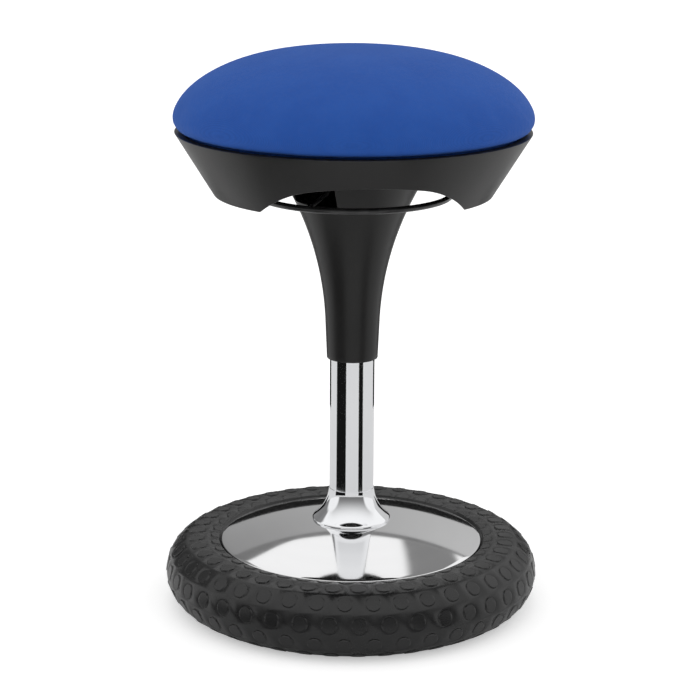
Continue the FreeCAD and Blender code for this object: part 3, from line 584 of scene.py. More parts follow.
def makeHub():
    footZ = dishFootZ + hub["lip"]
    topZ = dishFootZ + hub["topRise"]
    columnR = radiusOf("standpipe")
    waist = (columnR + hub["waistStep"], footZ + hub["waistRise"])
    across = hub["wall"] * math.sqrt(0.5)
    innerR = hub["footR"] - hub["wall"]
    outer = [(hub["footR"], dishZ(hub["footR"]) + hub["gap"]), (hub["footR"], footZ - hub["lipR"])]
    crown = arcThrough((hub["footR"], footZ), waist, (columnR + hub["wall"] / 4, topZ), hub["outerSteps"])
    outer += [(hub["footR"] - 0.15, footZ - 0.1)] + crown
    inner = [(columnR, topZ - 0.2), (columnR, topZ - hub["collar"])]
    inner += arcThrough(inner[-1], (waist[0] - across, waist[1] - across), (innerR, footZ - hub["wall"]),
                        hub["innerSteps"])
    inner += [(innerR, dishZ(innerR) + hub["gap"])]
    return turnOutline("hubBell", outer + inner, hub["steps"])


hubPiece = makeHub()
smoothOver(hubPiece, 40)
settle(hubPiece, "chrome", "base", "hub_cone")
print("hub turned")


# Column tube with a chamfered mouth

column = {"wall": 1.8, "edge": 0.6, "rows": 12, "steps": 160}


def makeColumn():
    outerR, lowZ, topZ = radiusOf("standpipe"), bottomOf("standpipe"), topOf("standpipe")
    boreR = outerR - column["wall"]
    levels = [lowZ + (topZ - lowZ) * i / column["rows"] for i in range(column["rows"])]
    points = [(outerR, z) for z in levels] + [(outerR, topZ - column["edge"]), (outerR - column["edge"], topZ)]
    points += [(boreR, topZ)] + [(boreR, z) for z in levels[::-1]]
    return turnOutline("columnTube", points, column["steps"])


columnPiece = makeColumn()
smoothOver(columnPiece, 30)
settle(columnPiece, "chrome", "base", "standpipe")
print("column turned")


# Neck sleeve: a trumpet with two windows for the release arms

neck = {"footR": 26.7, "straightR": 28.5, "straight": 41.0, "topR": 98.8, "wall": 2.4,
        "windowLow": 438.0, "windowHigh": 488.5, "windowFrom": -75.0, "windowTo": -15.0, "steps": 240,
        "edge": 0.5, "flangeWall": 3.0, "flangeInnerR": 81.0, "flangeTopIn": 1.5, "flangeLowIn": 3.6,
        "rows": 44, "straightRows": 6}


# Outside of the trumpet, with a level at each end of the windows
def neckSide():
    rows, straightRows = neck["rows"], neck["straightRows"]
    footZ, topZ = bottomOf("neck_sleeve"), topOf("neck_sleeve")
    lean = math.atan((neck["straightR"] - neck["footR"]) / neck["straight"])
    straightZ = footZ + neck["straight"]
    out, up = neck["topR"] - neck["straightR"], topZ - straightZ
    flareR = (out**2 + up**2) / (2 * (out * math.cos(lean) - up * math.sin(lean)))
    centreR = neck["straightR"] + flareR * math.cos(lean)
    centreZ = straightZ - flareR * math.sin(lean)
    top = math.asin((topZ - centreZ) / flareR)
    heights = [round(centreZ + flareR * math.sin(lean + (top - lean) * i / rows), 2) for i in range(rows + 1)]
    sills = {neck["windowLow"], neck["windowHigh"]}
    levels = sorted({z for z in heights if min(abs(z - sill) for sill in sills) > 1} | sills)
    flare = [(centreR - math.sqrt(max(flareR**2 - (z - centreZ)**2, 0)), z) for z in levels]
    straight = [(neck["footR"] + (neck["straightR"] - neck["footR"]) * i / straightRows,
                 footZ + neck["straight"] * i / straightRows) for i in range(straightRows)]
    return straight + flare


def inWindow(point):
    azimuth = azimuthOf(point)
    low, high = neck["windowLow"] * mm, neck["windowHigh"] * mm
    return low < point.z < high and any(
        neck["windowFrom"] < azimuth + turn < neck["windowTo"] for turn in (0, 180, -180))


def makeNeck():
    obj = turnOutline("neckSleeve", neckSide(), neck["steps"], closed=False)
    editMesh(obj)
    selectWhere(obj, "face", lambda f: inWindow(f.calc_center_median()))
    bpy.ops.mesh.delete(type="FACE")
    leaveEdit()
    mesh = obj.data
    outward = sum(1 if p.normal.xy.dot(p.center.xy) > 0 else -1 for p in mesh.polygons)
    if outward < 0:
        mesh.flip_normals()
    modify(obj, "SOLIDIFY", thickness=neck["wall"] * mm, offset=-1.0, use_even_offset=True)
    modify(obj, "BEVEL", width=neck["edge"] * mm, segments=2, limit_method="ANGLE",
           angle_limit=math.radians(50))
    topZ = topOf("neck_sleeve")
    lowZ = topZ - neck["flangeWall"]
    rim = turnOutline("neckFlange", [
        (neck["flangeInnerR"], lowZ), (neck["flangeInnerR"], topZ), (neck["topR"] - neck["flangeTopIn"], topZ),
        (neck["topR"] - neck["flangeLowIn"], lowZ)], neck["steps"])
    return joinInto(obj, [rim])


neckPiece = makeNeck()
smoothOver(neckPiece, 40)
settle(neckPiece, "black_plastic", "seat", "neck_sleeve")
print("neck made")


# Seat shell: conical skirt with a grip arch at the front and the back, and the deck inside it

shell = {"rimZ": 508.5, "footZ": 444.0, "topR": 184.0, "footR": 144.2, "wall": 3.0, "ledge": 9.0, "deckTop": 500.0,
         "deckWall": 4.0, "padTop": 503.0, "padR": 136.0, "archAzimuth": 5.3, "archRise": 33.5,
         "crownR": 330.0, "crownHalf": 54.0, "shoulderR": 74.0, "steps": 360, "lip": 0.9, "rows": 18,
         "edgeBand": 2.0, "archTries": 30}
shellSlope = (shell["topR"] - shell["footR"]) / (shell["rimZ"] - shell["footZ"])
shellAcross = shell["wall"] * math.hypot(1, shellSlope)


def shellR(z):
    return shell["footR"] + shellSlope * (z - shell["footZ"])


# Height of the grip arch at a distance across it, or None outside it
def archZ(across):
    crownZ = shell["footZ"] + shell["archRise"]
    joint = math.asin(shell["crownHalf"] / shell["crownR"])
    x = abs(across)
    if x <= shell["crownHalf"]:
        return crownZ - shell["crownR"] + math.sqrt(shell["crownR"]**2 - x**2)
    centreX = shell["crownHalf"] - shell["shoulderR"] * math.sin(joint)
    centreZ = crownZ - shell["crownR"] * (1 - math.cos(joint)) - shell["shoulderR"] * math.cos(joint)
    inside = shell["shoulderR"]**2 - (x - centreX)**2
    return centreZ + math.sqrt(inside) if inside > 0 else -1e3


# Lower edge of the skirt. Its radius depends on its height, so it is found step by step.
def skirtFootZ(azimuth, inset):
    turn = math.radians(azimuth - shell["archAzimuth"])
    z = shell["footZ"]
    for _ in range(shell["archTries"]):
        z += 0.5 * (max(shell["footZ"], archZ((shellR(z) - inset) * math.sin(turn))) - z)
    return z


# One outline with edges rounded by less than 1 mm, whose skirt is then drawn up into the arches
def makeShell():
    rimZ, footZ, lip, rows = shell["rimZ"], shell["footZ"], shell["lip"], shell["rows"]
    deckLow = shell["deckTop"] - shell["deckWall"]
    edgeZ = footZ + shell["edgeBand"]

    def outer(z):
        return (shellR(z), z)

    def inner(z):
        return (shellR(z) - shellAcross, z)

    ledgeR, ledgeZ = shellR(rimZ) - shell["ledge"], rimZ - shell["wall"]
    points = [inner(ledgeZ), (ledgeR, ledgeZ), (ledgeR, rimZ - 0.4), (ledgeR + 0.4, rimZ),
              (shellR(rimZ) - lip, rimZ), (shellR(rimZ) - 0.25, rimZ - 0.25), outer(rimZ - lip)]
    points += [outer(deckLow + (rimZ - lip - deckLow) * (3 - i) / 4) for i in range(4)]
    points += [outer(edgeZ + (deckLow - edgeZ) * (rows - i) / rows) for i in range(1, rows + 1)]
    points += [outer(footZ + 1.0), outer(footZ + 0.35), (shellR(footZ) - 0.35, footZ + 0.05),
               (shellR(footZ) - 1.0, footZ), (shellR(footZ) - shellAcross + 0.7, footZ),
               (shellR(footZ) - shellAcross + 0.25, footZ + 0.2), inner(footZ + 0.7), inner(edgeZ)]
    points += [inner(edgeZ + (deckLow - edgeZ) * i / rows) for i in range(1, rows + 1)]
    points += [(r, deckLow) for r in (140.0, 110.0, 80.0, 50.0, 20.0, 0.0)]
    points += [(r, shell["padTop"]) for r in (0.0, 60.0, 110.0, shell["padR"] - 0.4)]
    points += [(shell["padR"], shell["padTop"] - 0.4), (shell["padR"], shell["deckTop"]),
               (shellR(shell["deckTop"]) - shellAcross, shell["deckTop"])]
    obj = turnOutline("seatShell", points, shell["steps"])
    for v in obj.data.vertices:
        z = v.co.z / mm
        r = v.co.xy.length / mm
        if z >= deckLow - 0.01 or r < 100:
            continue
        azimuth = azimuthOf(v.co)
        inset = max(0.0, min(shellAcross, shellR(z) - r))
        rise = skirtFootZ(azimuth, inset) - footZ
        if z > edgeZ:
            rise *= (deckLow - z) / (deckLow - edgeZ)
        v.co = placeAt(r + shellSlope * rise, azimuth, z + rise)
    return obj


shellPiece = makeShell()
smoothOver(shellPiece, 38)
settle(shellPiece, "black_plastic", "seat", "seat_shell")
print("shell made")


# Release ring of round bar with two cranked arms

release = {"ringR": 101.0, "wireR": 3.25, "armWireR": 2.5, "armAzimuth": -27.0, "kneeR": 60.0, "kneeRise": 8.5,
           "riseR": 27.0, "elbowZ": 470.0, "topZ": 487.3, "bendR": 11.0, "ringZ": 443.5,
           "ringSteps": 192, "wireSteps": 20, "armSteps": 4}


def roundedRoute(points, bendR, steps=8):
    route = [points[0]]
    for before, corner, after in zip(points, points[1:], points[2:]):
        back = (before - corner).normalized()
        ahead = (after - corner).normalized()
        half = (math.pi - back.angle(ahead)) / 2
        trim = bendR * math.tan(half)
        centre = corner + (back + ahead).normalized() * (bendR / math.cos(half))
        start, end = corner + back * trim - centre, corner + ahead * trim - centre
        for i in range(steps + 1):
            route.append(centre + start.lerp(end, i / steps).normalized() * bendR)
    return route + [points[-1]]


def makeRing():
    clearSelection()
    bpy.ops.mesh.primitive_torus_add(major_radius=release["ringR"] * mm, minor_radius=release["wireR"] * mm,
                                     major_segments=release["ringSteps"], minor_segments=release["wireSteps"],
                                     location=(0, 0, release["ringZ"] * mm))
    ring = nameIt("releaseRing")
    applyPlace(ring)
    for turn in (0, 180):
        azimuth = release["armAzimuth"] + turn
        z = release["ringZ"]
        stops = [placeAt(r, azimuth, stopZ) for r, stopZ in (
            (release["ringR"], z), (release["kneeR"], z + release["kneeRise"]),
            (release["riseR"], release["elbowZ"]), (release["riseR"], release["topZ"]))]
        route = roundedRoute(stops, release["bendR"] * mm)
        line = bpy.data.curves.new("armLine", "CURVE")
        line.dimensions = "3D"
        spline = line.splines.new("POLY")
        spline.points.add(len(route) - 1)
        for point, place in zip(spline.points, route):
            point.co = (*place, 1.0)
        line.bevel_depth = release["armWireR"] * mm
        line.bevel_resolution = release["armSteps"]
        line.use_fill_caps = True
        arm = bpy.data.objects.new("arm", line)
        bpy.context.scene.collection.objects.link(arm)
        pickObject(arm)
        bpy.ops.object.convert(target="MESH")
        combine(ring, bpy.context.object, "UNION")
    return ring


ringPiece = makeRing()
smoothOver(ringPiece, 40)
settle(ringPiece, "ring_steel", "release", "release_ring")
print("release ring made")


# Tyre: raised round coins in staggered rows, tiled flat and wrapped round the section

tyre = {"ringR": 162.2, "ringZ": 35.3, "sectionR": 35.8, "wall": 5.0, "shoulderR": 141.8, "shoulderZ": 69.3,
        "crestRun": 20.5, "coinsRound": 41, "rowRun": 22.8, "firstAzimuth": 2.6, "mouth": 6.3, "beadR": 125.5,
        "rimFlangeR": 132.0, "flangeTop": 20.5, "gap": 0.3, "coinRise": 0.18, "grooveDepth": 0.5, "flatten": 0.6,
        "floorGap": 0.02, "bendSteps": 30, "firstTurn": math.radians(5), "shoulderRun": 0.6, "beadLift": 0.5,
        "lipClearance": 2.8, "edgeReach": 3.0, "seamAngle": -6.25}
# Radius of each ring of a coin, and whether it is raised (1), sunk (-1) or level
coinRings = [(6.2, 1.0), (7.6, 1.0), (8.25, -1.0), (8.85, -1.0), (9.6, 0.0)]
coinSides = 16
coinTurn = 360 / tyre["coinsRound"]
seamZ = tyre["ringZ"] + tyre["sectionR"] * math.sin(math.radians(tyre["seamAngle"]))


# Point of the tyre's outside at a run along it from the shoulder, and its outward direction
def tyreSide(run):
    crestR, crestZ = tyre["ringR"], tyre["ringZ"] + tyre["sectionR"]
    if run >= tyre["crestRun"]:
        angle = math.radians(90) - (run - tyre["crestRun"]) / tyre["sectionR"]
        return (Vector((crestR + tyre["sectionR"] * math.cos(angle),
                        tyre["ringZ"] + tyre["sectionR"] * math.sin(angle))),
                Vector((math.cos(angle), math.sin(angle))))
    share = 1 - run / tyre["crestRun"]
    drop = crestZ - tyre["shoulderZ"]
    r = crestR - share * (crestR - tyre["shoulderR"])
    slope = 2 * drop * share / (crestR - tyre["shoulderR"])
    return Vector((r, crestZ - drop * share**2)), Vector((-slope, 1)).normalized()


# One coin in its flat tile, its rings drawn inwards from the tile's edge
def makeTile(halfWidth, halfRow):
    clearSelection()
    bpy.ops.mesh.primitive_plane_add(size=1.0, location=(0, 0, 0))
    tile = nameIt("tile")
    bpy.ops.object.mode_set(mode="EDIT")
    bpy.ops.transform.resize(value=(2 * halfWidth, 2 * halfRow, 1))
    bpy.ops.mesh.subdivide(number_cuts=3)
    selectWhere(tile, "vert", lambda v: abs(abs(v.co.x) - halfWidth) > 1e-3 and abs(abs(v.co.y) - halfRow) > 1e-3)
    bpy.ops.mesh.delete(type="VERT")
    bpy.ops.mesh.select_all(action="SELECT")
    bpy.ops.mesh.delete(type="ONLY_FACE")
    bpy.ops.mesh.select_all(action="DESELECT")
    bpy.ops.mesh.primitive_circle_add(vertices=coinSides, radius=coinRings[-1][0], fill_type="NOTHING")
    bpy.ops.transform.rotate(value=math.pi / coinSides, orient_axis="Z", center_override=(0, 0, 0))
    bpy.ops.mesh.select_all(action="SELECT")
    bpy.ops.mesh.bridge_edge_loops()
    for radius, height in coinRings[-2::-1]:
        selectWhere(tile, "edge", lambda e: openEdge(e, lambda co: co.xy.length < coinRings[-1][0] + 0.05))
        bpy.ops.mesh.extrude_edges_move()
        moveSelected(tile, lambda co: (*(co.xy.normalized() * radius), height))
    selectWhere(tile, "edge", lambda e: openEdge(e, lambda co: co.xy.length < coinRings[0][0] + 0.05))
    bpy.ops.mesh.edge_face_add()
    leaveEdit()
    return tile


def tileWidth(run):
    return 2 * math.pi * tyreSide(run)[0].x / tyre["coinsRound"]


# Lays a tile's copies round the tyre at one run from the shoulder
def layRow(row, run, azimuth):
    width = tileWidth(run)
    modify(row, "ARRAY", count=tyre["coinsRound"], use_relative_offset=False, use_constant_offset=True,
           constant_offset_displace=(width, 0, 0), use_merge_vertices=True, merge_threshold=0.01)
    for v in row.data.vertices:
        along, up, height = v.co
        side, out = tyreSide(run - up)
        lift = 0.0
        if height > 0:
            lift = tyre["coinRise"] + tyre["flatten"] * up**2 / (2 * tyre["sectionR"])
        elif height < 0:
            lift = -tyre["grooveDepth"]
        place = side + out * lift
        v.co = placeAt(place.x, azimuth + along / width * coinTurn, max(place.y, tyre["floorGap"]))


# Joins the rows, draws each open loop on along its route, and bridges the two ends
def closeTyre(name, rows, loops):
    obj = joinInto(rows[0], rows[1:])
    obj.name = obj.data.name = name
    editMesh(obj)
    bpy.ops.mesh.select_all(action="SELECT")
    bpy.ops.mesh.remove_doubles(threshold=0.02 * mm)
    for isStart, route in loops:
        selectWhere(obj, "edge", lambda e: openEdge(e, isStart))
        for r, z in route:
            bpy.ops.mesh.extrude_edges_move()
            moveSelected(obj, lambda co: placeAt(r, azimuthOf(co), z))
    selectWhere(obj, "edge", lambda e: len(e.link_faces) == 1)
    bpy.ops.mesh.bridge_edge_loops()
    bpy.ops.mesh.select_all(action="SELECT")
    bpy.ops.mesh.normals_make_consistent(inside=False)
    leaveEdit()
    smoothOver(obj, 50)
    return obj


# The inside of the section from the seam to one edge of the mouth, over the top (1) or underneath (-1)
def cavityArc(mouthZ, sign):
    r, z, cavityR, steps = tyre["ringR"], tyre["ringZ"], tyre["sectionR"] - tyre["wall"], tyre["bendSteps"]
    start, end = math.asin((seamZ - z) / cavityR), sign * math.pi - math.asin((mouthZ - z) / cavityR)
    turns = [start + (end - start) * i / steps for i in range(steps + 1)]
    return [(r + cavityR * math.cos(turn), z + cavityR * math.sin(turn)) for turn in turns]


def makeRows():
    firstRun = tyre["crestRun"] + tyre["firstTurn"] * tyre["sectionR"]
    runs = [firstRun + tyre["rowRun"] * i for i in range(-1, 5)]
    rows = []
    for i, run in enumerate(runs):
        row = makeTile(tileWidth(run) / 2, tyre["rowRun"] / 2)
        if i == 0:
            editMesh(row)
            bpy.ops.mesh.select_all(action="SELECT")
            bpy.ops.mesh.bisect(plane_co=(0, run - tyre["shoulderRun"], 0), plane_no=(0, 1, 0), clear_outer=True)
            leaveEdit()
        layRow(row, run, tyre["firstAzimuth"] + (0 if i % 2 else coinTurn / 2))
        rows.append(row)
    return rows


def isSeam(co):
    return abs(co.z - seamZ * mm) < weld * 2


def makeTyreUpper(rows):
    tuckR = dishEdgeR - dish["wall"] / 2
    tuckZ = dishZ(tuckR, dish["wall"]) - tyre["gap"]
    shoulder = (tyre["shoulderR"], tyre["shoulderZ"])
    lip = arcThrough(shoulder, ((tuckR + shoulder[0]) / 2 + 0.8, (tuckZ + shoulder[1]) / 2 - 0.4), (tuckR, tuckZ), 5)
    beadZ = dishZ(tyre["beadR"], dish["wall"]) - tyre["gap"] - tyre["beadLift"]
    mouthZ = tyre["ringZ"] + tyre["mouth"]
    inside = cavityArc(mouthZ, 1) + [(tyre["beadR"], mouthZ), (tyre["beadR"], beadZ)]
    return closeTyre("tyreUpper", rows, [
        (lambda co: co.z > (tyre["shoulderZ"] - tyre["edgeReach"]) * mm, [shoulder] + lip), (isSeam, inside)])


def makeTyreLower(rows):
    def under(r):
        return tyre["ringZ"] - math.sqrt(tyre["sectionR"]**2 - (r - tyre["ringR"])**2)

    flat = math.sqrt(tyre["sectionR"]**2 - tyre["ringZ"]**2)
    flatInnerR, lowerR = tyre["ringR"] - flat, tyre["rimFlangeR"] + tyre["lipClearance"]
    radii = [flatInnerR - (flatInnerR - lowerR) * i / 10 for i in range(1, 11)]
    flangeZ = tyre["flangeTop"] + tyre["gap"]
    outside = [(tyre["ringR"] + flat, 0), (flatInnerR, 0)] + [(r, under(r)) for r in radii]
    outside += [(tyre["rimFlangeR"] + 2 * tyre["gap"], flangeZ), (tyre["beadR"], flangeZ)]
    mouthZ = tyre["ringZ"] - tyre["mouth"]
    inside = cavityArc(mouthZ, -1) + [(tyre["beadR"], mouthZ)]
    return closeTyre("tyreLower", rows, [
        (lambda co: co.z < tyre["edgeReach"] * mm, outside), (isSeam, inside)])


coinRows = makeRows()
tyreUpper, tyreLower = makeTyreUpper(coinRows[:4]), makeTyreLower(coinRows[4:])
for piece in (tyreUpper, tyreLower):
    settle(piece, "tyre_rubber", None, "tyre")
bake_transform(tyreUpper)
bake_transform(tyreLower)
print("tyre laid:", len(tyreUpper.data.polygons), len(tyreLower.data.polygons))


# Air tube: one ring of thin rubber, parted level with the tyre's seam

airTube = {"wall": 2.0, "bendSteps": 24, "steps": 144}


def makeTubeHalf(name, sign):
    outerR = tyre["sectionR"] - tyre["wall"] - tyre["gap"]
    points = []
    for radius, back in ((outerR, 1), (outerR - airTube["wall"], -1)):
        start = math.asin((seamZ - tyre["ringZ"]) / radius)
        end = sign * math.pi - start
        turns = [start + (end - start) * i / airTube["bendSteps"] for i in range(airTube["bendSteps"] + 1)][::back]
        points += [(tyre["ringR"] + radius * math.cos(turn), tyre["ringZ"] + radius * math.sin(turn))
                   for turn in turns]
    obj = turnOutline(name, points, airTube["steps"])
    smoothOver(obj, 50)
    settle(obj, "tube_rubber", None, "air_tube")
    return obj


tubeUpper, tubeLower = makeTubeHalf("airTubeUpper", 1), makeTubeHalf("airTubeLower", -1)
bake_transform(tubeUpper)
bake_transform(tubeLower)
print("air tube made")


# Cushion: foam under a woven cover that is tucked in over the shell's rim

cushion = {"equatorR": 185.2, "equatorZ": 521.4, "crownHeight": 71.0, "sidePower": 2.59, "crownPower": 1.63,
           "domeSteps": 40, "steps": 160, "innerSteps": 128, "foamSteps": 96, "tuckR": 178.0, "tuckZ": 509.6,
           "sideBow": 5.2, "startOut": 2.0, "startDown": 1.5, "swell": 1.5, "voxel": 4.0, "coverWall": 5.0,
           "foamInset": 5.4, "foamEdgeZ": 530.0, "boardR": 166.0, "boardTop": 513.0, "boardGap": 0.1,
           "openingZ": 495.0, "hemTop": 502.9, "hemInnerR": 138.0, "hemWall": 1.9, "hemGap": 0.5, "hemStep": 1.4}
air = {"pressure": 4.0, "quality": 5, "frames": 20}


# From the crown down to the widest ring, by a superellipse
def domeOutline(inset):
    points = []
    for i in range(cushion["domeSteps"] + 1):
        turn = 0.5 * math.pi * i / cushion["domeSteps"]
        r = (cushion["equatorR"] - inset) * max(math.cos(turn), 0.0) ** (2 / cushion["sidePower"])
        z = cushion["equatorZ"] + (cushion["crownHeight"] - inset) * math.sin(turn) ** (2 / cushion["crownPower"])
        points.append((r if i < cushion["domeSteps"] else 0.0, z))
    return points[::-1]


# The cover before it is inflated, a little wider and lower than it ends
def coverOutline():
    tuck, equator = (cushion["tuckR"], cushion["tuckZ"]), (cushion["equatorR"], cushion["equatorZ"])
    side = arcThrough(equator, (tuck[0] + cushion["sideBow"], (tuck[1] + equator[1]) / 2), tuck, 6)
    return [(r + cushion["startOut"] * (r / cushion["equatorR"]) ** 4,
             z - cushion["startDown"] * (1 - r / cushion["equatorR"])) for r, z in domeOutline(0.0) + side]


# The dome as far out as the board's edge
def foamOutline(inset):
    dome = [(r, z) for r, z in domeOutline(inset) if r < cushion["boardR"]]
    return dome + [(cushion["boardR"] + cushion["boardGap"], cushion["foamEdgeZ"])]


def makeCover():
    obj = turnOutline("seatCover", coverOutline() + [(0.0, cushion["tuckZ"])], cushion["steps"], closed=False)
    modify(obj, "REMESH", mode="VOXEL", voxel_size=cushion["voxel"] * mm, use_smooth_shade=True)
    inflate(obj)
    modify(obj, "SMOOTH", factor=0.5, iterations=2)
    modify(obj, "SUBSURF", levels=1, render_levels=1)
    openingR = cushion["boardR"] + cushion["boardGap"]
    core = turnOutline("core", foamOutline(cushion["coverWall"]) + [
        (openingR, cushion["openingZ"]), (0.0, cushion["openingZ"])], cushion["innerSteps"], closed=False)
    combine(obj, core, "DIFFERENCE")
    hemLow, hemHigh = cushion["hemTop"] - cushion["hemWall"], cushion["tuckZ"] + cushion["hemStep"]
    innerR = cushion["boardR"] + cushion["hemGap"]
    outerR = innerR + cushion["hemWall"]
    hem = turnOutline("hem", [(innerR, hemHigh), (innerR, cushion["hemTop"]),
                              (cushion["hemInnerR"], cushion["hemTop"]), (cushion["hemInnerR"], hemLow),
                              (outerR, hemLow), (outerR, hemHigh)], cushion["innerSteps"])
    combine(obj, hem, "UNION")
    return obj


# Swells the cover as air under cloth would, by no more than the cushion's swell
def inflate(obj):
    rest = [v.co.copy() for v in obj.data.vertices]
    pickObject(obj)
    cloth = obj.modifiers.new("Cloth", "CLOTH")
    cloth.settings.use_pressure = True
    cloth.settings.uniform_pressure_force = air["pressure"]
    cloth.settings.effector_weights.gravity = 0.0
    cloth.settings.quality = air["quality"]
    for frameNumber in range(1, air["frames"] + 1):
        bpy.context.scene.frame_set(frameNumber)
    graph = bpy.context.evaluated_depsgraph_get()
    swollen = [v.co.copy() for v in obj.evaluated_get(graph).data.vertices]
    obj.modifiers.remove(cloth)
    bpy.context.scene.frame_set(1)
    cap = cushion["swell"] * mm
    for v, before, after in zip(obj.data.vertices, rest, swollen):
        move = after - before
        if move.length > cap:
            move = move.normalized() * cap
        v.co = before + move


coverPiece = makeCover()
smoothOver(coverPiece, 60)
settle(coverPiece, "blue_fabric", "seat", "fabric_cover")

foamLowZ = cushion["boardTop"] + cushion["boardGap"]
foamPiece = turnOutline("foamPad", foamOutline(cushion["foamInset"]) + [
    (cushion["boardR"] - 0.4, foamLowZ), (0.0, foamLowZ)], cushion["foamSteps"], closed=False)
smoothOver(foamPiece, 50)
settle(foamPiece, "foam", "seat", "foam_pad")
print("cushion made:", len(coverPiece.data.polygons), "faces")


# Studio: white floor, soft surround, dark flags beside the column, and the camera

studio = {"floorR": 9.0, "floorGlow": 0.45, "frontLight": 0.2, "leftLight": 0.22, "rightLight": 0.65,
          "sideLight": 1.0, "bandLight": 0.2, "boxLight": 1.05, "shadeLight": 0.25}
# Edges of the lit parts, as from and to of a soft step. The box's are x/z and y/z, the others x, y or z.
edges = {"wall": (-0.7, 0.7), "back": (-0.2, 0.3), "front": (0.0, 0.9), "band": (0.5, 0.52), "panel": (0.84, 0.92),
         "boxFar": (-0.5, -0.25, 1.25, 1.5), "boxBlur": (-0.03, 0.03), "boxLeft": (-0.56, -0.48),
         "boxRight": (0.22, 0.27), "farRight": (0.5, 0.55), "nearLeft": (0.5, 0.8)}


# What reflections see: a soft box overhead, grey walls with a darker band behind, a dim front, bright side panels
def makeWorld():
    world = bpy.data.worlds.new("studioSurround")
    bpy.context.scene.world = world
    world.use_nodes = True
    tree = world.node_tree
    tree.nodes.clear()
    parts = addNode(tree, "SeparateXYZ", {0: addNode(tree, "TexCoord").outputs["Generated"]})
    x, y, z = (parts.outputs[k] for k in "XYZ")
    up = calc(tree, "MAXIMUM", z, 0.05)
    side, depth = calc(tree, "DIVIDE", x, up), calc(tree, "DIVIDE", y, up)
    wall = ramp(tree, x, *edges["wall"], studio["leftLight"], studio["rightLight"])
    farEdge = ramp(tree, side, *edges["boxFar"])
    beyond = ramp(tree, calc(tree, "SUBTRACT", depth, farEdge), *edges["boxBlur"])
    inBand = calc(tree, "MULTIPLY", ramp(tree, z, *edges["band"]), beyond)
    low = mixValue(tree, inBand, wall, studio["bandLight"])
    middle = calc(tree, "MULTIPLY", ramp(tree, side, *edges["boxLeft"]),
                  ramp(tree, side, *edges["boxRight"], 1.0, 0.0))
    nearLeft = calc(tree, "MULTIPLY", ramp(tree, side, *edges["boxLeft"], 1.0, 0.0),
                    ramp(tree, depth, *edges["nearLeft"], 1.0, 0.0))
    ends = calc(tree, "MAXIMUM", ramp(tree, side, *edges["farRight"]), nearLeft)
    above = mixValue(tree, calc(tree, "MAXIMUM", middle, ends), studio["shadeLight"], studio["boxLight"])
    rear = mixValue(tree, calc(tree, "SUBTRACT", 1.0, beyond), low, above)
    front = ramp(tree, z, *edges["front"], studio["frontLight"], studio["boxLight"])
    around = mixValue(tree, ramp(tree, y, *edges["back"]), front, rear)
    panels = ramp(tree, calc(tree, "ABSOLUTE", x), *edges["panel"])
    value = mixValue(tree, panels, around, studio["sideLight"])
    soft = addNode(tree, "Background", {"Color": value, "Strength": 1.0})
    white = addNode(tree, "Background", {"Color": (1, 1, 1, 1), "Strength": 1.0})
    ray = addNode(tree, "LightPath")
    mixed = addNode(tree, "MixShader", {0: ray.outputs["Is Camera Ray"], 1: soft.outputs[0], 2: white.outputs[0]})
    out = tree.nodes.new("ShaderNodeOutputWorld")
    tree.links.new(mixed.outputs[0], out.inputs[0])


def makeFloor():
    clearSelection()
    bpy.ops.mesh.primitive_circle_add(vertices=96, radius=studio["floorR"], fill_type="NGON", location=(0, 0, 0))
    floor = nameIt("studioFloor")
    finish, tree, shader, place = newFinish("paleFloor", Specular_IOR_Level=0.0)
    shader.inputs["Base Color"].default_value = (0.93, 0.93, 0.93, 1)
    shader.inputs["Roughness"].default_value = 0.9
    shader.inputs["Emission Color"].default_value = (1, 1, 1, 1)
    ray = addNode(tree, "LightPath")
    glow = calc(tree, "MULTIPLY", ray.outputs["Is Camera Ray"], studio["floorGlow"])
    tree.links.new(glow, shader.inputs["Emission Strength"])
    floor.data.materials.append(finish)


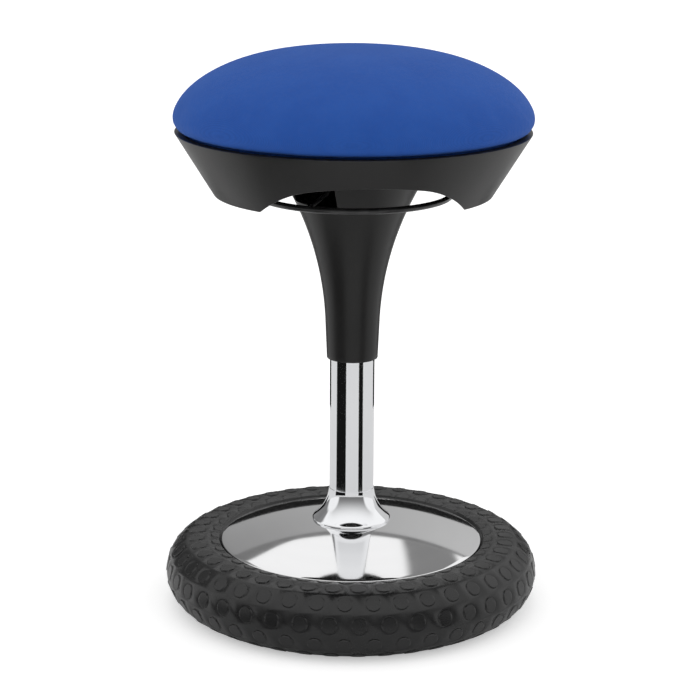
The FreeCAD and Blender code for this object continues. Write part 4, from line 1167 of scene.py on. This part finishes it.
# Dark flags that only reflections see. Azimuths in degrees, lengths in metres. A flag whose innerR is
# less than its outerR also lies on the floor between them.
flags = {"flagLeft": dict(start=-84, end=-30, innerR=0.4, outerR=1.4, height=0.02, shade=0.01),
         "flagRight": dict(start=35, end=58, innerR=0.4, outerR=1.4, height=0.02, shade=0.01),
         "flagRearLeft": dict(start=-180, end=-137, innerR=0.75, outerR=0.75, height=0.15, shade=0.02),
         "flagRearRight": dict(start=137, end=180, innerR=0.75, outerR=0.75, height=0.15, shade=0.02)}


# bpy.ops.mesh.spin turns clockwise seen from above
def makeFlag(name, start, end, innerR, outerR, height, shade):
    flag = startLine(name, placeAt(innerR / mm, start, 1.0))
    if innerR < outerR:
        reach = placeAt((outerR - innerR) / mm, start, 0.0)
        bpy.ops.mesh.extrude_vertices_move(TRANSFORM_OT_translate={"value": reach})
    bpy.ops.mesh.extrude_vertices_move(TRANSFORM_OT_translate={"value": (0, 0, height)})
    bpy.ops.mesh.select_all(action="SELECT")
    bpy.ops.mesh.spin(steps=12, angle=math.radians(start - end), center=(0, 0, 0), axis=(0, 0, 1))
    leaveEdit()
    finish, tree, shader, place = newFinish(name, Specular_IOR_Level=0.0)
    shader.inputs["Base Color"].default_value = (shade, shade, shade, 1)
    flag.data.materials.append(finish)
    flag.visible_camera = False
    flag.visible_diffuse = False
    flag.visible_shadow = False
    flag.visible_transmission = False


camera = {"place": (0.0, -2.3195, 0.8813), "lens": 117.23, "pitch": 14.64, "yaw": 0.06, "roll": 0.35}


def makeCamera():
    data = bpy.data.cameras.new("studioCamera")
    data.lens = camera["lens"]
    data.sensor_width = 36.0
    obj = bpy.data.objects.new("studioCamera", data)
    bpy.context.scene.collection.objects.link(obj)
    obj.matrix_world = (Matrix.Translation(camera["place"])
                        @ Matrix.Rotation(math.radians(camera["yaw"]), 4, "Z")
                        @ Matrix.Rotation(math.radians(90 - camera["pitch"]), 4, "X")
                        @ Matrix.Rotation(math.radians(camera["roll"]), 4, "Z"))
    bpy.context.scene.camera = obj


makeWorld()
makeFloor()
for flagName, size in flags.items():
    makeFlag(flagName, **size)
makeCamera()
bpy.context.scene.view_settings.view_transform = "Standard"
print("studio set")

clearSelection()
